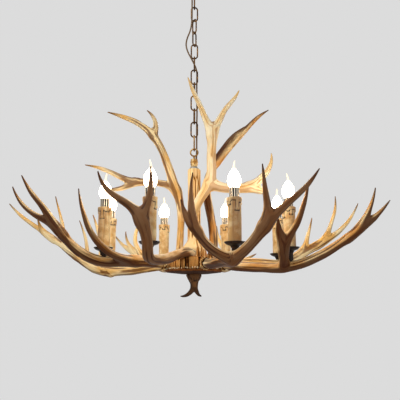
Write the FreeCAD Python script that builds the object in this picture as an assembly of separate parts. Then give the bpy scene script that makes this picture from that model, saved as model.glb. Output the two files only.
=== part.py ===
"""Antler chandelier: eight candle lights on a ring of cast antlers, hung on a chain.

Everything is in millimetres. The ceiling is the plane z = 0, the lamp hangs down along -Z, +X is to the
right and +Y is away from the viewer. Each function makes one piece or one family of alike pieces.
"""

import FreeCAD, Part
import math
import os

from FreeCAD import Vector

# ---------------------------------------------------------------- driving dimensions
CANOPY_RADIUS = 62.0
CANOPY_HEIGHT = 28.0
SHEET = 1.6                     # wall of the spun canopy
BAR_LENGTH = 100.0              # the steel bar across the ceiling box
BAR_WIDTH = 20.0
BAR_THICKNESS = 3.0
SCREW_SPACING = 88.0
SCREW_HOLE = 2.5
NIPPLE_RADIUS = 5.0
NIPPLE_BORE = 3.7
NIPPLE_TOP = -4.0
NIPPLE_FOOT = -36.0
NECK_HEIGHT = 6.0
LOCK_RING_RADIUS = 9.5
LOCK_RING_HEIGHT = 6.0
NUT_HEIGHT = 5.0

CHAIN_TOP = -61.5               # where the first link bears on the ceiling loop
LINK_PITCH = 39.5               # inside length of a link
LINK_WIRE = 2.0                 # radius of the link's wire
LINK_BEND = 9.0                 # centre-line radius of the link's ends
LINK_SLACK = 0.15               # half of the gap left where two wires bear
LINK_COUNT = 12
LINK_TURN = (90, 8, 125, 60, 175, 92, 5, 95, 5, 95, 0, 90)

LOOP_WIRE = 2.25                # wire radius of the ceiling loop and of the stem's eye
LOOP_INSIDE = 10.0
EYE_INSIDE = 8.0
EYE_SHANK_RADIUS = 3.0
EYE_SHANK_DEPTH = 12.0          # how far the eye's shank goes down into the collar

CORD_RADIUS = 2.2
CORD_HOLE_RADIUS = 3.0
CORD_AT = (7.2, 4.2)            # where the cord goes down beside the tie rod

COLLAR_TOP = -563.0
COLUMN_TOP = -592.0
COLUMN_RADIUS = 18.0
COLUMN_BORE = 12.5
FLUTE_RADIUS = 2.6
FOOT_RADIUS = 32.0
FOOT_TOP = -808.0
ROD_RADIUS = 4.0
ROD_TOP = -579.0

HUB_TOP = -838.0
HUB_BOTTOM = -870.0
HUB_RADIUS = 70.0
HUB_WALL = 4.0
HUB_CHAMFER = 3.0
PLATE_RADIUS = 78.0
FINIAL_TOP = -882.0
FINIAL_TIP = -942.0
FINIAL_HOLE_DEPTH = 14.0        # how far the tie rod screws into the finial
CONNECTOR_SIZE = (30.0, 16.0, 12.0)
CONNECTOR_AT = (14.0, -8.0)
CONNECTOR_PITCH = 7.3

CANDLE_RING = 257.0             # radius of the circle that the candles stand on
DISH_TOP = -820.0
DISH_RADIUS = 24.0
CUP_RADIUS = 8.0
CUP_DEPTH = 14.0                # from the dish down to where its stub meets a high beam
SEAT_DEPTH = 4.0                # how far a stub sinks into the antler
SLEEVE_RADIUS = 15.7
SLEEVE_WALL = 1.8
SLEEVE_TOP = -716.0
WAX_RUN_RADIUS = 2.6
HOLDER_RADIUS = 12.0
HOLDER_FOOT_RADIUS = 6.0
HOLDER_DROP = 6.0               # the holder's top below the sleeve's
HOLDER_CUP = 38.0
THREAD_RADIUS = 7.0
BULB_COLLAR_RADIUS = 11.8
BULB_WAIST = -690.0
BULB_BELLY_RADIUS = 16.4
COLLAR_FLUTES = 12
COLLAR_FLUTE_RADIUS = 1.5
BULB_TIP = -627.0
BULB_TIP_RADIUS = 0.9

ROOT_RADIUS = 74.0              # where a lower antler leaves the hub's wall
SPIGOT_RADIUS = 8.0
SPIGOT_LENGTH = 14.0
BOLT_RADIUS = 2.5
SIDE_BOLT_SEAT = 13.0           # how far from the axis the side bolt's head bears inside the column
SIDE_BOLT_LENGTH = 16.0
SIDE_RECESS_RADIUS = 4.0
BOLT_HEAD_RADIUS = 4.5
SIDE_HEAD_RADIUS = 3.8
BOLT_HEAD_HEIGHT = 3.5
BURR_SPREAD = 4.0               # how far the burr at an antler's root stands out
BURR_LENGTH = 10.0
FIT = 0.2                       # clearance on a radius where one piece sits in another

TIP = 1.3                       # radius that a tine is rounded off at

UP = Vector(0, 0, 1)


# ---------------------------------------------------------------- helpers
def turned(shape, degrees):
    """A copy of the shape, turned about the chandelier's own axis."""
    copy = shape.copy()
    copy.rotate(Vector(0, 0, 0), UP, degrees)
    return copy


def tube(outer, inner, low, high, centre=(0, 0)):
    """An upright tube between two heights."""
    base = Vector(centre[0], centre[1], low)
    body = Part.makeCylinder(outer, high - low, base)
    return body.cut(Part.makeCylinder(inner, high - low + 2, base - UP))


def rod(radius, low, high, centre=(0, 0)):
    """An upright round bar between two heights."""
    return Part.makeCylinder(radius, high - low, Vector(centre[0], centre[1], low))


def revolved(profile):
    """A closed profile of (radius, height) points, turned once round the axis."""
    points = [Vector(radius, 0, height) for radius, height in profile]
    face = Part.Face(Part.makePolygon(points + [points[0]]))
    return face.revolve(Vector(0, 0, 0), UP, 360)


def smooth_profile(start, through, end):
    """An edge that runs smoothly through (radius, height) points, for a profile to be turned."""
    points = [Vector(radius, 0, height) for radius, height in (start, *through, end)]
    curve = Part.BSplineCurve()
    curve.interpolate(points)
    return curve.toShape()


def frames_along(curve, count):
    """Places spread evenly along a curve, each with its direction and a side that never twists."""
    first, last = curve.FirstParameter, curve.LastParameter
    side = None
    frames = []
    for step in range(count):
        at = first + (last - first) * step / (count - 1)
        along = Vector(*curve.tangent(at)[0]).normalize()
        if side is None:
            side = along.cross(UP if abs(along.z) < 0.9 else Vector(1, 0, 0))
        side = (side - along * side.dot(along)).normalize()
        frames.append((step / (count - 1), curve.value(at), along, side))
    return frames


def branch(points, stations=7):
    """One beam or tine: a round, tapering limb along (x, y, z, radius) points, closed at both ends."""
    curve = Part.BSplineCurve()
    curve.interpolate([Vector(x, y, z) for x, y, z, _ in points])
    knots = [curve.parameter(Vector(x, y, z)) for x, y, z, _ in points]
    radii = [radius for _, _, _, radius in points]
    rings = []
    for share, place, along, side in frames_along(curve, stations):
        at = curve.FirstParameter + share * (curve.LastParameter - curve.FirstParameter)
        index = max(i for i, knot in enumerate(knots[:-1]) if knot <= at + 1e-9)
        span = (at - knots[index]) / (knots[index + 1] - knots[index])
        radius = radii[index] + (radii[index + 1] - radii[index]) * span
        ring = Part.Circle(Vector(0, 0, 0), UP, radius).toShape()
        turn = FreeCAD.Matrix()
        up_side = along.cross(side)
        turn.A11, turn.A21, turn.A31 = side.x, side.y, side.z
        turn.A12, turn.A22, turn.A32 = up_side.x, up_side.y, up_side.z
        turn.A13, turn.A23, turn.A33 = along.x, along.y, along.z
        turn.A14, turn.A24, turn.A34 = place.x, place.y, place.z
        rings.append(Part.Wire([ring.transformed(turn)]))
    return Part.makeLoft(rings, True, False)


def export(name, *solids):
    """Writes one named piece, or one group of separate alike pieces."""
    shape = solids[0] if len(solids) == 1 else Part.makeCompound(list(solids))
    shape.exportStep("parts/%s.step" % name)
    valid = shape.isValid()
    print("%-18s solids %d volume %9.0f valid %s" % (name, len(shape.Solids), shape.Volume, valid))


# ---------------------------------------------------------------- ceiling end
def canopy():
    """The spun cover against the ceiling, open above, with the nipple's hole in its crown."""
    outer = [(CANOPY_RADIUS, 0), (CANOPY_RADIUS, -5), (CANOPY_RADIUS - 6, -12), (CANOPY_RADIUS - 20, -21),
             (20, -26), (12, -CANOPY_HEIGHT)]
    bore = NIPPLE_RADIUS + FIT
    inner = [(bore, -CANOPY_HEIGHT), (bore, -CANOPY_HEIGHT + SHEET), (12, -CANOPY_HEIGHT + SHEET),
             (20 - 0.5, -26 + SHEET), (CANOPY_RADIUS - 20.6, -21 + SHEET),
             (CANOPY_RADIUS - 7.2, -12 + SHEET), (CANOPY_RADIUS - SHEET, -5), (CANOPY_RADIUS - SHEET, 0)]
    return revolved(outer + inner)


def ceiling_bracket():
    """The steel bar screwed to the ceiling box, with two screw holes and a centre hole."""
    corner = Vector(-BAR_LENGTH / 2, -BAR_WIDTH / 2, -BAR_THICKNESS)
    bar = Part.makeBox(BAR_LENGTH, BAR_WIDTH, BAR_THICKNESS, corner)
    bar = bar.cut(rod(NIPPLE_RADIUS + FIT, -BAR_THICKNESS - 1, 1))
    for side in (-1, 1):
        bar = bar.cut(rod(SCREW_HOLE, -BAR_THICKNESS - 1, 1, (side * SCREW_SPACING / 2, 0)))
    return bar


def hang_loop():
    """The hollow nipple and the closed ring under it that carries the chain."""
    ring_centre = CHAIN_TOP + LOOP_INSIDE - LINK_SLACK
    ring = Part.makeTorus(LOOP_INSIDE + LOOP_WIRE, LOOP_WIRE, Vector(0, 0, ring_centre), Vector(0, 1, 0))
    nipple = rod(NIPPLE_RADIUS, NIPPLE_FOOT, NIPPLE_TOP)
    neck_top = Vector(0, 0, NIPPLE_FOOT)
    neck = Part.makeCone(NIPPLE_RADIUS + 1.5, NIPPLE_RADIUS - 0.4, NECK_HEIGHT, neck_top, -UP)
    body = nipple.fuse([neck, ring])
    return body.cut(rod(NIPPLE_BORE, NIPPLE_FOOT - NECK_HEIGHT - 0.4, NIPPLE_TOP + 2)).removeSplitter()


def lock_ring():
    """The knurled ring that screws up the nipple and holds the canopy to the ceiling."""
    low = -CANOPY_HEIGHT - LOCK_RING_HEIGHT
    ring = tube(LOCK_RING_RADIUS, NIPPLE_RADIUS + FIT, low, -CANOPY_HEIGHT)
    for turn in range(0, 360, 30):
        groove = rod(0.9, low - 1, -CANOPY_HEIGHT + 1, (LOCK_RING_RADIUS + 0.3, 0))
        ring = ring.cut(turned(groove, turn))
    return ring


def nipple_nut():
    """The hexagon nut above the bracket's hole, which takes the whole weight."""
    top = -BAR_THICKNESS - FIT
    return hexagon_nut(8.5, NIPPLE_RADIUS + FIT, top - NUT_HEIGHT, top)


def hexagon_nut(corner_radius, bore, low, high, centre=(0, 0)):
    """A plain hexagon nut."""
    corners = []
    for index in range(7):
        angle = math.radians(60 * index)
        x = centre[0] + corner_radius * math.cos(angle)
        y = centre[1] + corner_radius * math.sin(angle)
        corners.append(Vector(x, y, low))
    nut = Part.Face(Part.makePolygon(corners)).extrude(UP * (high - low))
    return nut.cut(rod(bore, low - 1, high + 1, centre))


# ---------------------------------------------------------------- chain
def chain_link(index):
    """One closed wire link, hanging from the one above it, turned as the slack chain twists."""
    top = CHAIN_TOP - LINK_PITCH * index + LINK_WIRE + LINK_SLACK
    bottom = CHAIN_TOP - LINK_PITCH * (index + 1) - LINK_WIRE - LINK_SLACK
    upper, lower = top - LINK_BEND, bottom + LINK_BEND
    left, right = -LINK_BEND, LINK_BEND
    edges = [
        Part.LineSegment(Vector(right, 0, lower), Vector(right, 0, upper)).toShape(),
        Part.Arc(Vector(right, 0, upper), Vector(0, 0, top), Vector(left, 0, upper)).toShape(),
        Part.LineSegment(Vector(left, 0, upper), Vector(left, 0, lower)).toShape(),
        Part.Arc(Vector(left, 0, lower), Vector(0, 0, bottom), Vector(right, 0, lower)).toShape(),
    ]
    section = Part.Wire([Part.Circle(Vector(right, 0, lower), UP, LINK_WIRE).toShape()])
    link = Part.Wire(edges).makePipeShell([section], True, False)
    return turned(link, LINK_TURN[index])


# ---------------------------------------------------------------- cord
def cord_run(points):
    """A length of cord along straight runs, each corner rounded by the widest arc that its runs allow."""
    places = [Vector(*point) for point in points]
    edges = []
    here = places[0]
    for before, corner, after in zip(places, places[1:], places[2:]):
        back, ahead = before - corner, after - corner
        half_turn = (math.pi - back.getAngle(ahead)) / 2
        reach = 0.45 * min(back.Length, ahead.Length)
        radius = reach / math.tan(half_turn)
        print("cord bend radius %.0f at z %.0f" % (radius, corner.z))
        start = corner + back.normalize() * reach
        end = corner + ahead.normalize() * reach
        inward = (back + ahead).normalize()
        middle = corner + inward * (math.hypot(radius, reach) - radius)
        edges.append(Part.LineSegment(here, start).toShape())
        edges.append(Part.Arc(start, middle, end).toShape())
        here = end
    edges.append(Part.LineSegment(here, places[-1]).toShape())
    path = Part.Wire(edges)
    along = places[1] - places[0]
    section = Part.Wire([Part.Circle(places[0], along, CORD_RADIUS).toShape()])
    tube_solid = path.makePipeShell([section], True, False)
    wanted = math.pi * CORD_RADIUS ** 2 * path.Length
    share = tube_solid.Volume / wanted
    print("cord length %.0f, volume against section times length %.4f" % (path.Length, share))
    return tube_solid


# the cord goes down the left of the chain, bulges, crosses through one link and comes down on the right
CORD_CEILING = ((0, 0, -14), (0, 0, -42), (-7, -7, -60), (-7, -7, -81))
CORD_UPPER = ((-7, -7, -81), (-7, -7, -120))
CORD_LONG = ((-7, -7, -120), (-7, -7, -146), (-11, -8, -176), (-22, -7, -202), (-25, -5, -222),
             (-19, -6, -244), (-8, -5, -264), (8, 5, -294), (7, 8, -324), (7, 7, -370), (8, 7, -420),
             (7, 7, -456), (7, 7, -476))
CORD_LOWER = ((7, 7, -476), (7, 7, -516))
CORD_STEM = ((7, 7, -516), (7, 7, -538), (6.2, 4.6, -562), (7.2, 4.2, -600), (7.2, 4.4, -720),
             (7.2, 4.2, -834))


# ---------------------------------------------------------------- stem and hub
def eye_bolt():
    """The closed eye that the last link hangs in, with its shank in the collar."""
    bottom_contact = CHAIN_TOP - LINK_PITCH * LINK_COUNT
    centre = bottom_contact - EYE_INSIDE + LINK_SLACK
    ring = Part.makeTorus(EYE_INSIDE + LOOP_WIRE, LOOP_WIRE, Vector(0, 0, centre), Vector(0, 1, 0))
    shank = rod(EYE_SHANK_RADIUS, COLLAR_TOP - EYE_SHANK_DEPTH, centre - EYE_INSIDE - LOOP_WIRE)
    return ring.fuse(shank).removeSplitter()


def stem_collar():
    """The turned brass-coloured cap on the column: three beads, a plain neck and a flared foot."""
    profile = [(0, COLLAR_TOP), (8.5, COLLAR_TOP), (10.2, COLLAR_TOP - 1.5), (10.2, COLLAR_TOP - 4),
               (9.2, COLLAR_TOP - 5.2), (10.8, COLLAR_TOP - 6.8), (10.8, COLLAR_TOP - 10),
               (9.5, COLLAR_TOP - 11.4), (10.6, COLLAR_TOP - 12.8), (10.6, COLLAR_TOP - 15.2),
               (9.6, COLLAR_TOP - 16.6), (9.6, COLLAR_TOP - 22), (13, COLUMN_TOP + 4), (13, COLUMN_TOP),
               (0, COLUMN_TOP)]
    collar = revolved(profile)
    collar = collar.cut(rod(EYE_SHANK_RADIUS + FIT, COLLAR_TOP - EYE_SHANK_DEPTH - FIT, COLLAR_TOP + 1))
    collar = collar.cut(rod(ROD_RADIUS + FIT, COLUMN_TOP - 1, ROD_TOP + FIT))
    passage_foot = Vector(6.6, 4.4, COLUMN_TOP - 2)
    passage_length = COLLAR_TOP - COLUMN_TOP + 4
    passage = Part.makeCone(CORD_HOLE_RADIUS + 0.2, CORD_HOLE_RADIUS - 0.1, passage_length, passage_foot)
    return collar.cut(passage)


def column():
    """The hollow carved post, with shallow flutes cut in it and a spreading foot on the hub."""
    profile = [(COLUMN_BORE, COLUMN_TOP), (COLUMN_RADIUS - 2, COLUMN_TOP), (COLUMN_RADIUS, COLUMN_TOP - 3),
               (COLUMN_RADIUS, FOOT_TOP + 26), (COLUMN_RADIUS + 3, FOOT_TOP + 12),
               (FOOT_RADIUS - 3, FOOT_TOP), (FOOT_RADIUS, FOOT_TOP - 5), (FOOT_RADIUS, HUB_TOP),
               (COLUMN_BORE, HUB_TOP)]
    post = revolved(profile)
    for turn in range(0, 360, 45):
        flute = rod(FLUTE_RADIUS, FOOT_TOP + 28, COLUMN_TOP - 6, (COLUMN_RADIUS + 1.6, 0))
        post = post.cut(turned(flute, turn))
        low_flute = rod(FLUTE_RADIUS + 0.6, HUB_TOP + 3, FOOT_TOP - 8, (FOOT_RADIUS + 1.8, 0))
        post = post.cut(turned(low_flute, turn + 22.5))
    for entry in UPPER_ANTLERS:
        if "side_bolt" in entry:
            post = post.cut(side_bolt(entry["side_bolt"], BOLT_RADIUS + FIT))
            centre = Vector(0, 0, entry["side_bolt"])
            post = post.cut(Part.makeCylinder(SIDE_RECESS_RADIUS, SIDE_BOLT_SEAT, centre, Vector(0, -1, 0)))
    return post


def tie_rod():
    """The threaded rod down the middle that clamps collar, column, hub and finial together."""
    return rod(ROD_RADIUS, FINIAL_TOP - FINIAL_HOLE_DEPTH, ROD_TOP)


def hub_drum():
    """The closed-top drum that the lower antlers plug into."""
    drum = rod(HUB_RADIUS, HUB_BOTTOM, HUB_TOP)
    rim = [edge for edge in drum.Edges if abs(edge.CenterOfMass.z - HUB_TOP) < 0.1]
    drum = drum.makeChamfer(HUB_CHAMFER, rim)
    drum = drum.cut(rod(HUB_RADIUS - HUB_WALL, HUB_BOTTOM - 1, HUB_TOP - HUB_WALL))
    drum = drum.cut(rod(ROD_RADIUS + FIT, HUB_BOTTOM, HUB_TOP + 1))
    for place in (CORD_AT, (CORD_AT[0] + 0.8, CORD_AT[1] + 0.8)):
        drum = drum.cut(rod(CORD_HOLE_RADIUS, HUB_BOTTOM, HUB_TOP + 1, place))
    for antler in LOWER_ANTLERS:
        if antler["root"] == "side":
            drum = drum.cut(socket_hole(antler))
        else:
            drum = drum.cut(rod(BOLT_RADIUS + FIT, HUB_TOP - 10, HUB_TOP + 1, antler["bolt_at"]))
    for antler in UPPER_ANTLERS:
        if "bolt_at" in antler:
            drum = drum.cut(rod(BOLT_RADIUS + FIT, HUB_TOP - 10, HUB_TOP + 1, antler["bolt_at"]))
    return drum


def socket_hole(entry):
    """A round hole through the drum's wall for an antler's plug, pointing at the axis."""
    start = along_bearing(entry) * (HUB_RADIUS - 20) + UP * entry["root_height"]
    return Part.makeCylinder(SPIGOT_RADIUS + FIT, 40, start, along_bearing(entry))


def hub_plate():
    """The dished bottom plate that closes the drum, with a stepped rim."""
    profile = [(ROD_RADIUS + FIT, HUB_BOTTOM), (PLATE_RADIUS - 3, HUB_BOTTOM),
               (PLATE_RADIUS, HUB_BOTTOM - 2), (PLATE_RADIUS, HUB_BOTTOM - 5),
               (PLATE_RADIUS - 4, HUB_BOTTOM - 7), (PLATE_RADIUS - 14, HUB_BOTTOM - 8),
               (PLATE_RADIUS / 2, HUB_BOTTOM - 11), (ROD_RADIUS + FIT, FINIAL_TOP)]
    return revolved(profile)


def finial():
    """The bell under the hub that ends in two small spreading tines."""
    bell = revolved([(0, FINIAL_TOP), (21, FINIAL_TOP), (22, FINIAL_TOP - 4), (18, FINIAL_TOP - 13),
                     (11.5, FINIAL_TOP - 22), (10, FINIAL_TOP - 27), (0, FINIAL_TOP - 27)])
    left = branch([(-1, 0, FINIAL_TOP - 18, 10), (-2, 0, FINIAL_TOP - 34, 9),
                   (-10, 1, FINIAL_TOP - 48, 6.5), (-23, 2, FINIAL_TIP + 3, 4), (-37, 3, FINIAL_TIP + 2, TIP)])
    right = branch([(1, 0, FINIAL_TOP - 18, 10), (3, 0, FINIAL_TOP - 34, 8),
                    (8, -1, FINIAL_TOP - 47, 6), (14, -2, FINIAL_TIP + 5, 3.6), (21, -3, FINIAL_TIP + 2, TIP)])
    hole = rod(ROD_RADIUS + FIT, FINIAL_TOP - FINIAL_HOLE_DEPTH - FIT, FINIAL_TOP + 1)
    return bell.fuse([left, right]).cut(hole)


def wire_connector():
    """The terminal block in the hub, where the cord meets the eight lamps' leads."""
    length, width, height = CONNECTOR_SIZE
    ceiling = HUB_TOP - HUB_WALL
    block = Part.makeBox(length, width, height, Vector(*CONNECTOR_AT, ceiling - height))
    for step in range(4):
        place = (CONNECTOR_AT[0] + 4 + CONNECTOR_PITCH * step, CONNECTOR_AT[1] + 11)
        block = block.cut(rod(2.0, ceiling - height - 1, ceiling - 4, place))
    return block


def rod_nut():
    """The nut on the tie rod under the drum's top."""
    return hexagon_nut(8, ROD_RADIUS + FIT, HUB_TOP - HUB_WALL - NUT_HEIGHT - 1, HUB_TOP - HUB_WALL)


# ---------------------------------------------------------------- antlers
# Each limb is (x, y, z, radius) points from the thick end out. A lower antler plugs into the drum at its
# bearing, passes under its own candle, then sweeps out and up. Bearings are degrees from +X towards +Y.
def candle_place(entry):
    """Where the candle of a lower antler stands: on the ring, shifted along its own beam."""
    angle = math.radians(entry["bearing"])
    radius = CANDLE_RING + entry.get("candle_shift", 0)
    return radius * math.cos(angle), radius * math.sin(angle)


def along_bearing(entry):
    """The level direction from the axis towards a lower antler's candle."""
    angle = math.radians(entry["bearing"])
    return Vector(math.cos(angle), math.sin(angle), 0)


LOWER_ANTLERS = [
    dict(name="antler_right_front", bearing=-22.5, candle_shift=6, root="side", root_height=-856, beam_top=-856,
         limbs=[
        [(68.4, -28.3, -856, 11), (105, -44, -862, 13), (165, -70, -868, 13), (240, -99, -867, 12.5),
         (311, -125, -842, 12), (383, -140, -797, 10), (444, -150, -751, 7), (486, -150, -706, TIP)],
        [(380, -140, -799, 8), (404, -145, -776, 8), (430, -155, -733, 6), (448, -160, -676, TIP)],
        [(225, -94, -866, 10), (224, -120, -845, 11.5), (219, -135, -816, 12), (210, -150, -786, 9.5),
         (206, -160, -750, TIP)],
        [(221, -130, -827, 10), (232, -145, -800, 10), (252, -157, -766, 8), (270, -165, -718, 6),
         (283, -170, -658, TIP)],
    ]),
    dict(name="antler_right_back", bearing=22.5, candle_shift=7, root="side", root_height=-850, beam_top=-836,
         limbs=[
        [(68.4, 28.3, -850, 11), (115, 48, -849, 13.5), (190, 78, -848, 14), (240, 98, -849, 13.5),
         (305, 112, -824, 12.5), (374, 130, -786, 10), (430, 145, -752, 7.5), (470, 154, -712, 5),
         (502, 160, -658, TIP)],
        [(300, 110, -824, 8), (318, 116, -806, 7.5), (335, 125, -767, 5.5), (352, 130, -708, TIP)],
        [(362, 127, -793, 8), (386, 133, -772, 7.5), (408, 136, -730, 6), (421, 131, -690, 4.5),
         (423, 125, -643, TIP)],
    ]),
    dict(name="antler_front_right", bearing=-67.5, candle_shift=-7, root="side", root_height=-856, beam_top=-846,
         limbs=[
        [(28.3, -68.4, -856, 11), (48, -115, -860, 13), (72, -180, -859, 14), (94, -237, -856, 14),
         (127, -265, -828, 12), (152, -275, -797, 12.5), (168, -279, -771, 11.5)],
        [(161, -277, -785, 10.5), (165, -282, -752, 9), (161, -287, -715, 7), (155, -290, -649, TIP)],
        [(158, -276, -788, 10.5), (184, -281, -762, 9.5), (215, -286, -734, 8), (251, -290, -701, 6.2),
         (281, -295, -661, TIP)],
        [(92, -234, -857, 12), (68, -244, -851, 12), (46, -245, -838, 11), (20, -245, -811, 10),
         (4, -245, -775, 8.5), (-3, -245, -735, 7), (0, -245, -658, TIP)],
        [(10, -244, -796, 8), (-6, -241, -781, 7), (-18, -237, -755, 5.5), (-28, -231, -719, TIP)],
    ]),
    dict(name="antler_front_left", bearing=-112.5, root="top", bolt_at=(-15, -55), beam_top=-845,
         limbs=[
        [(-4, -44, -829, 11), (-15, -64, -827, 12.5), (-35, -100, -834, 12), (-60, -155, -850, 12.5),
         (-86, -220, -858, 12.5), (-98, -258, -852, 12.5), (-99, -276, -828, 12), (-107, -280, -790, 13),
         (-116, -280, -768, 12.5)],
        [(-112, -280, -780, 10.5), (-130, -282, -752, 10), (-153, -283, -734, 8.5), (-189, -284, -708, 6.2),
         (-212, -284, -664, TIP)],
        [(-113, -280, -778, 10), (-106, -282, -756, 9.5), (-97, -284, -728, 7.5), (-93, -284, -692, 5.5),
         (-94, -284, -653, TIP)],
    ]),
    dict(name="antler_left_front", bearing=-157.5, candle_shift=-10, root="side", root_height=-856, beam_top=-843,
         limbs=[
        [(-68.4, -28.3, -856, 11), (-105, -44, -853, 13), (-165, -70, -851, 14), (-236, -97, -852, 14),
         (-285, -130, -829, 12.5), (-325, -150, -785, 10.5), (-364, -160, -730, 8), (-396, -161, -692, 6),
         (-425, -160, -645, TIP)],
        [(-318, -148, -793, 9), (-350, -151, -765, 8), (-397, -146, -739, 6.5), (-426, -145, -713, 5),
         (-451, -145, -670, TIP)],
        [(-150, -66, -851, 10), (-178, -95, -846, 10.5), (-205, -122, -835, 10), (-240, -141, -803, 8.5),
         (-264, -148, -756, 6.5), (-286, -145, -675, TIP)],
    ]),
    dict(name="antler_left_back", bearing=157.5, candle_shift=9, root="side", root_height=-856, beam_top=-856,
         limbs=[
        [(-68.4, 28.3, -856, 11), (-115, 48, -861, 12), (-175, 74, -868, 13), (-237, 97, -869, 13),
         (-290, 110, -859, 12.5), (-352, 130, -821, 11), (-419, 150, -776, 9), (-486, 165, -731, 7),
         (-537, 174, -695, 5), (-578, 180, -655, TIP)],
        [(-424, 150, -773, 7), (-447, 150, -756, 6.5), (-463, 148, -738, 5), (-475, 145, -704, TIP)],
        [(-350, 130, -822, 7), (-373, 136, -800, 7), (-394, 132, -735, 5.5), (-419, 126, -643, TIP)],
        [(-292, 110, -858, 7), (-307, 114, -838, 7), (-316, 108, -790, 5), (-338, 100, -720, TIP)],
        [(-266, 104, -863, 8), (-274, 122, -838, 7.5), (-280, 136, -790, 6), (-291, 140, -745, 5),
         (-308, 142, -696, TIP)],
    ]),
    dict(name="antler_back_left", bearing=112.5, root="side", root_height=-856, beam_top=-842,
         limbs=[
        [(-28.3, 68.4, -856, 11), (-48, 115, -854, 13), (-75, 180, -853, 14), (-98, 237, -852, 14),
         (-140, 295, -832, 12), (-190, 335, -805, 9.5), (-235, 358, -778, 7), (-280, 372, -730, TIP)],
        [(-190, 335, -805, 7), (-210, 342, -785, 7), (-228, 345, -760, 5), (-236, 345, -722, TIP)],
        [(-140, 295, -832, 8), (-175, 312, -805, 8), (-201, 325, -755, 7), (-195, 331, -714, 5.5),
         (-178, 335, -660, TIP)],
    ]),
    dict(name="antler_back_right", bearing=67.5, root="side", root_height=-856, beam_top=-842,
         limbs=[
        [(28.3, 68.4, -856, 11), (48, 115, -854, 13), (75, 180, -853, 14), (98, 237, -852, 14),
         (118, 295, -835, 12), (128, 340, -805, 9.5), (134, 372, -765, 7), (142, 392, -705, TIP)],
        [(124, 318, -822, 8), (100, 348, -792, 7.5), (82, 366, -752, 5.5), (74, 372, -700, TIP)],
        [(110, 270, -844, 8), (142, 288, -832, 7.5), (172, 312, -818, 6), (205, 330, -800, TIP)],
    ]),
]

UPPER_ANTLERS = [
    dict(name="antler_upper_left", bolt_at=(-42, 26), limbs=[
        [(-42, 26, HUB_TOP - 5, 12.5), (-39, 28, -800, 10.5), (-37, 30, -744, 10), (-41, 30, -680, 12),
         (-63, 30, -610, 12.5), (-91, 25, -534, 10.5), (-123, 20, -482, 10), (-169, 15, -448, 8),
         (-206, 10, -434, 6), (-249, 5, -422, TIP)],
        [(-118, 20, -488, 8), (-111, 25, -460, 7.5), (-120, 30, -428, 5), (-140, 35, -405, TIP)],
        [(-48, 30, -650, 10), (-83, 45, -625, 9.5), (-127, 60, -616, 9.5), (-178, 68, -611, 10),
         (-223, 75, -593, 7.5), (-268, 80, -572, 6), (-326, 85, -557, TIP)],
        [(-170, 67, -612, 8), (-196, 70, -625, 7.5), (-225, 68, -634, 6), (-261, 64, -634, TIP)],
    ]),
    dict(name="antler_upper_front", side_bolt=-716, limbs=[
        [(0, -12, -716, 10), (4, -27, -709, 11.5), (15, -36, -685, 12.5), (34, -38, -655, 13.5),
         (46, -39, -625, 13.5), (47, -40, -575, 12.5), (49, -42, -520, 13), (49, -45, -492, 12)],
        [(49, -44, -502, 10.5), (30, -50, -457, 9), (12, -58, -415, 7.5), (-4, -66, -383, 5.2),
         (-17, -72, -349, TIP)],
        [(49, -44, -502, 10.5), (70, -46, -463, 9), (90, -46, -428, 7.5), (111, -43, -401, 5.2),
         (126, -40, -374, TIP)],
        [(40, -38, -640, 12.5), (70, -36, -649, 13.5), (98, -31, -652, 13), (147, -25, -647, 12.5),
         (187, -20, -618, 9.5), (210, -15, -586, 6.5), (215, -10, -547, TIP)],
        [(150, -25, -647, 11), (176, -22, -655, 10.5), (192, -20, -658, 9), (203, -19, -657, 5)],
    ]),
    dict(name="antler_upper_back", bolt_at=(46, 34), limbs=[
        [(48, 34, HUB_TOP - 5, 13), (54, 36, -800, 12.5), (48, 42, -723, 12), (38, 48, -670, 11.5),
         (37, 54, -620, 11), (62, 62, -558, 11), (103, 70, -508, 9.5), (160, 80, -442, 7.5),
         (192, 86, -408, 5.5), (225, 90, -384, TIP)],
        [(104, 70, -507, 7), (122, 78, -462, 7), (138, 84, -430, 5), (150, 90, -384, TIP)],
    ]),
]


def spigot(entry):
    """The straight plug on a lower antler's root that sits in the drum's wall."""
    inner_end = along_bearing(entry) * (ROOT_RADIUS - SPIGOT_LENGTH) + UP * entry["root_height"]
    return Part.makeCylinder(SPIGOT_RADIUS, SPIGOT_LENGTH, inner_end, along_bearing(entry))


def burr(points):
    """The rough ring round an antler's root, swelling between its first two points."""
    start, towards = Vector(*points[0][:3]), Vector(*points[1][:3])
    along = (towards - start).normalize()
    middle = start + along * (BURR_LENGTH * 1.1)
    thin, wide, half = points[0][3], points[0][3] + BURR_SPREAD, BURR_LENGTH / 2
    low = Part.makeCone(thin, wide, half, middle - along * half, along)
    high = Part.makeCone(wide, thin, half, middle, along)
    return low.fuse(high)


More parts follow.
